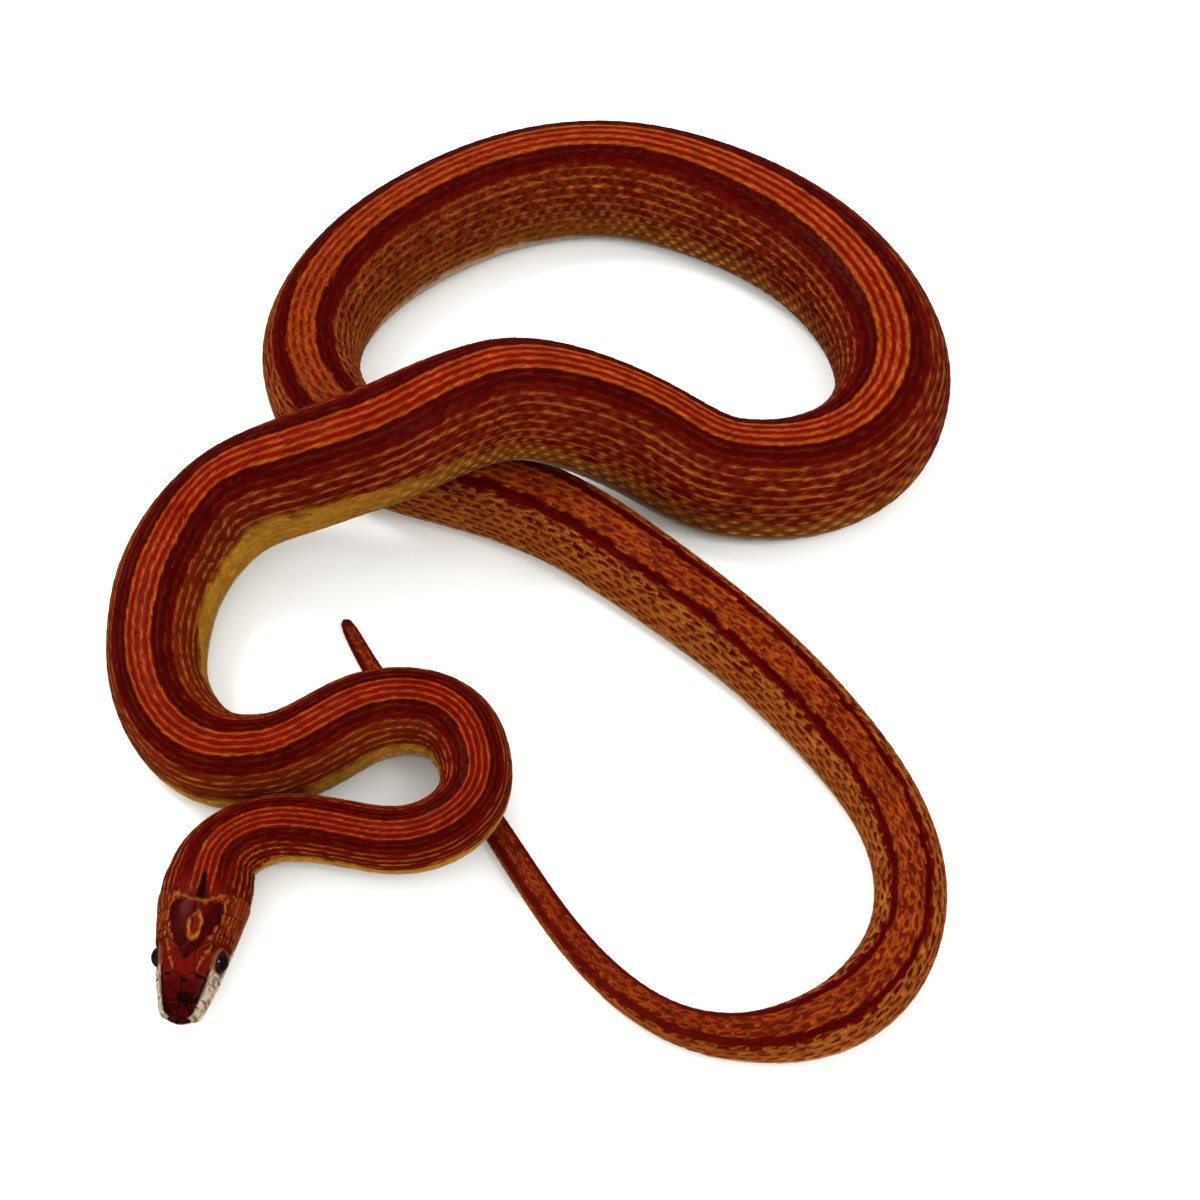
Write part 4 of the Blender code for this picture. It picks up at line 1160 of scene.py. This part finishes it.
def join_rings(body, shells):
    """One set of arrays for ring-shaped shells, each shell's faces turned away from the head's core."""
    points, paints, bakes, quads, start = [], [], [], [], 0
    for shell, paint, bake in shells:
        grid = quads_of_grid(len(shell), shell.shape[1], wrap=True)
        facing = np.cross(shell[4, 0] - shell[2, 0], shell[2, 1] - shell[2, 0])
        hub = body.in_place(np.array([[shell_station(body, shell[2, 0]), 0.0, HEAD_CORE]]))[0]
        quads.append((grid if facing @ (shell[2, 0] - hub) > 0.0 else grid[:, ::-1]) + start)
        points.append(shell.reshape(-1, 3))
        paints.append(paint.reshape(-1, 3))
        bakes.append(bake.reshape(-1, 2))
        start += len(points[-1])
    return np.vstack(points), np.vstack(quads), np.vstack(paints), np.vstack(bakes)


def shell_station(body, point):
    """How far back from the snout a point lies, kept a little behind the snout's tip."""
    return max(0.8, float((point[:2] - body.path[0]) @ body.back))


def make_plates(body, finish):
    """The plates of crown, cheeks and upper lip with the eye rims, and those of the jaw."""
    upper = [snout_plate(body), laid_plate(body, FRONTAL, 1.0, "frontal")]
    lower = []
    crown_kinds = ("internasal", "prefrontal", "supraocular", "parietal")
    upper_lips = lip_outlines(body, UPPER_LIP_CUTS, -LIP_GAP, UPPER_LIP_EDGE)
    lower_lips = lip_outlines(body, LOWER_LIP_CUTS, LIP_GAP, LOWER_LIP_EDGE)
    for sign in (1.0, -1.0):
        for outline, kind in zip(CROWN_PLATES, crown_kinds):
            upper.append(laid_plate(body, outline, sign, kind))
        upper += [laid_plate(body, outline, sign, "cheek") for outline in CHEEK_PLATES]
        upper += [laid_plate(body, outline, sign, "lip") for outline in upper_lips]
        upper.append(lid_ring(body, sign))
        lower += [laid_plate(body, outline, sign, "lip") for outline in lower_lips]
        lower += [laid_plate(body, outline, sign, "chin") for outline in CHIN_PLATES]
    mesh_piece("head_plates", *join_rings(body, upper), finish, "head_scales")
    mesh_piece("jaw_plates", *join_rings(body, lower), finish, "jaw_scales")


def make_eye(body, sign, name, node, finish):
    """An eyeball: a ball about the axis of sight, its pupil and iris by the angle from that axis."""
    tilt = math.pi * np.linspace(0.0, 1.0, 49) ** 1.15
    turn = 2.0 * math.pi * np.arange(64) / 64
    axis = unit(np.array(EYE_AXIS) * (1.0, sign, 1.0))
    first = unit(np.cross(axis, (0.0, 0.0, 1.0)))
    second = np.cross(axis, first)
    spoke = np.cos(turn)[:, None] * first + np.sin(turn)[:, None] * second
    radius = EYE_RADIUS * 0.985
    ball = np.cos(tilt)[:, None, None] * axis + np.sin(tilt)[:, None, None] * spoke[None]
    points = np.array(EYE_MIDDLE) * (1.0, sign, 1.0) + radius * ball
    angle = np.degrees(tilt)[:, None] + np.zeros(len(turn))
    iris = step_between(40.0, 44.0, angle) * fall_between(66.0, 74.0, angle)
    glow = 0.35 + 0.65 * step_between(0.2, 0.8, ball[..., 2])
    paint = blend_paint(plain(PUPIL, angle.shape), IRIS, iris * glow)
    out = 0.48 * (angle / 180.0)
    bake = np.stack([0.5 + out * np.cos(turn), 0.5 + out * np.sin(turn)], axis=-1)
    quads = quads_of_grid(len(tilt), len(turn), wrap=True)
    piece = mesh_piece(name, body.in_place(points), quads, paint, bake, finish, "eye")
    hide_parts(node)


def set_inputs(node, values):
    """Sets the node's inputs by name."""
    for socket, value in values.items():
        node.inputs[socket].default_value = value


def times(tree, value, factor):
    """The value of an output times a factor."""
    product = tree.nodes.new("ShaderNodeMath")
    product.operation = "MULTIPLY"
    product.inputs[1].default_value = factor
    tree.links.new(value, product.inputs[0])
    return product.outputs["Value"]


def grain_noise(tree, detail, size):
    """Noise on the piece's own coordinates at a size given by an output."""
    place = tree.nodes.new("ShaderNodeTexCoord")
    grain = tree.nodes.new("ShaderNodeTexNoise")
    grain.inputs["Detail"].default_value = detail
    tree.links.new(place.outputs["Object"], grain.inputs["Vector"])
    tree.links.new(size, grain.inputs["Scale"])
    return grain.outputs["Fac"]


def grain_group():
    """Fine grain for every skin surface: a value to shade colour by, and a height."""
    group = bpy.data.node_groups.new("skin grain", "ShaderNodeTree")
    for name, direction in (("Size", "INPUT"), ("Value", "OUTPUT"), ("Height", "OUTPUT")):
        group.interface.new_socket(name, in_out=direction, socket_type="NodeSocketFloat")
    size = group.nodes.new("NodeGroupInput").outputs["Size"]
    out = group.nodes.new("NodeGroupOutput")
    shade = group.nodes.new("ShaderNodeMapRange")
    set_inputs(shade, {"From Min": 0.3, "From Max": 0.7, "To Min": 0.48, "To Max": 0.66})
    group.links.new(grain_noise(group, 3.0, size), shade.inputs["Value"])
    group.links.new(shade.outputs["Result"], out.inputs["Value"])
    group.links.new(grain_noise(group, 1.0, times(group, size, 4.0)), out.inputs["Height"])
    return group


def new_finish(name):
    """A new material with its tree of nodes and its shader."""
    finish = bpy.data.materials.new(name)
    finish.use_nodes = True
    return finish, finish.node_tree, finish.node_tree.nodes["Principled BSDF"]


def own_paint(tree):
    """The colour painted on the mesh."""
    colour = tree.nodes.new("ShaderNodeAttribute")
    colour.attribute_name = "paint"
    return colour.outputs["Color"]


def painted_material(name, group, size, roughness, gloss, bump):
    """Painted colour from the mesh, shaded by the grain, with a faint bump."""
    finish, tree, shader = new_finish(name)
    grain = tree.nodes.new("ShaderNodeGroup")
    grain.node_tree = group
    grain.inputs["Size"].default_value = size
    shaded = tree.nodes.new("ShaderNodeVectorMath")
    shaded.operation = "SCALE"
    tree.links.new(own_paint(tree), shaded.inputs[0])
    tree.links.new(grain.outputs["Value"], shaded.inputs["Scale"])
    tree.links.new(shaded.outputs["Vector"], shader.inputs["Base Color"])
    tree.links.new(times(tree, grain.outputs["Value"], roughness), shader.inputs["Roughness"])
    relief = tree.nodes.new("ShaderNodeBump")
    set_inputs(relief, {"Strength": bump, "Distance": GRAIN_DEPTH})
    tree.links.new(grain.outputs["Height"], relief.inputs["Height"])
    tree.links.new(relief.outputs["Normal"], shader.inputs["Normal"])
    shader.inputs["Specular IOR Level"].default_value = gloss
    return finish


def eye_material():
    """The ball's own colours under a smooth wet gloss."""
    finish, tree, shader = new_finish("wet eye")
    tree.links.new(own_paint(tree), shader.inputs["Base Color"])
    set_inputs(shader, {"Roughness": 0.03, "Specular IOR Level": 0.5})
    return finish


def make_floor():
    """A wide pale floor that the animal lies on, kept out of reflections."""
    mesh = bpy.data.meshes.new("floor")
    corners = [(x * FLOOR_REACH, y * FLOOR_REACH, 0.0) for x, y in ((-1, -1), (1, -1), (1, 1), (-1, 1))]
    mesh.from_pydata(corners, [], [(0, 1, 2, 3)])
    floor = bpy.data.objects.new("floor", mesh)
    bpy.context.scene.collection.objects.link(floor)
    finish, _, shader = new_finish("pale floor")
    pale = (0.93, 0.95, 0.94, 1.0)
    set_inputs(shader, {"Base Color": pale, "Roughness": 0.9, "Specular IOR Level": 0.05})
    mesh.materials.append(finish)
    floor.visible_glossy = False


def add_light(name, place, size, power):
    """A square soft light that looks at the animal."""
    light = bpy.data.lights.new(name, "AREA")
    light.size, light.energy = size, power
    lamp = bpy.data.objects.new(name, light)
    lamp.location = place
    x, y, z = place
    lamp.rotation_euler = (math.atan2(math.hypot(x, y), z), 0.0, math.atan2(x, -y))
    bpy.context.scene.collection.objects.link(lamp)


def make_room():
    """A soft white room that lights the animal evenly but shows only dimly in its gloss."""
    world = bpy.data.worlds.new("soft room")
    world.use_nodes = True
    nodes, links = world.node_tree.nodes, world.node_tree.links
    rays = nodes.new("ShaderNodeLightPath")
    strength = nodes.new("ShaderNodeMapRange")
    set_inputs(strength, {"To Min": 1.5, "To Max": 0.1})
    links.new(rays.outputs["Is Glossy Ray"], strength.inputs["Value"])
    links.new(strength.outputs["Result"], nodes["Background"].inputs["Strength"])
    nodes["Background"].inputs["Color"].default_value = (1.0, 1.0, 1.0, 1.0)
    bpy.context.scene.world = world


def make_studio():
    """The room, a soft key light, a weaker one for the eyes, and a camera that looks down."""
    scene = bpy.context.scene
    make_room()
    add_light("key", *KEY_LIGHT)
    add_light("fill", *FILL_LIGHT)
    scene.view_settings.view_transform = "Standard"
    camera = bpy.data.cameras.new("camera")
    camera.lens = CAMERA_LENS
    camera.sensor_width = 36.0
    camera.clip_start = 0.01
    camera_object = bpy.data.objects.new("camera", camera)
    camera_object.location = (
        -BOX_MIDDLE[0] * MM,
        -BOX_MIDDLE[1] * MM - CAMERA_AWAY * math.cos(CAMERA_TILT),
        CAMERA_AWAY * math.sin(CAMERA_TILT),
    )
    camera_object.rotation_euler = (math.radians(90.0) - CAMERA_TILT, 0.0, 0.0)
    scene.collection.objects.link(camera_object)
    scene.camera = camera_object


def main():
    """Makes the animal in its finishes, its floor and its studio."""
    body = Body()
    grain = grain_group()
    scales = painted_material("scales", grain, size=900.0, roughness=0.5, gloss=0.011, bump=0.25)
    plates = painted_material("head plates", grain, size=1100.0, roughness=0.5, gloss=0.025, bump=0.15)
    belly = painted_material("belly scutes", grain, size=700.0, roughness=0.7, gloss=0.1, bump=0.1)
    bare = painted_material("skin", grain, size=1600.0, roughness=0.9, gloss=0.04, bump=0.3)
    skin = make_skin(body, bare)
    flesh = [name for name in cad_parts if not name.startswith("eye")]
    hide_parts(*flesh)
    make_scales(body, scales)
    make_belly(body, belly)
    make_plates(body, plates)
    wet = eye_material()
    make_eye(body, -1.0, "eyeball_left", "eye_left", wet)
    make_eye(body, 1.0, "eyeball_right", "eye_right", wet)
    make_floor()
    make_studio()


main()
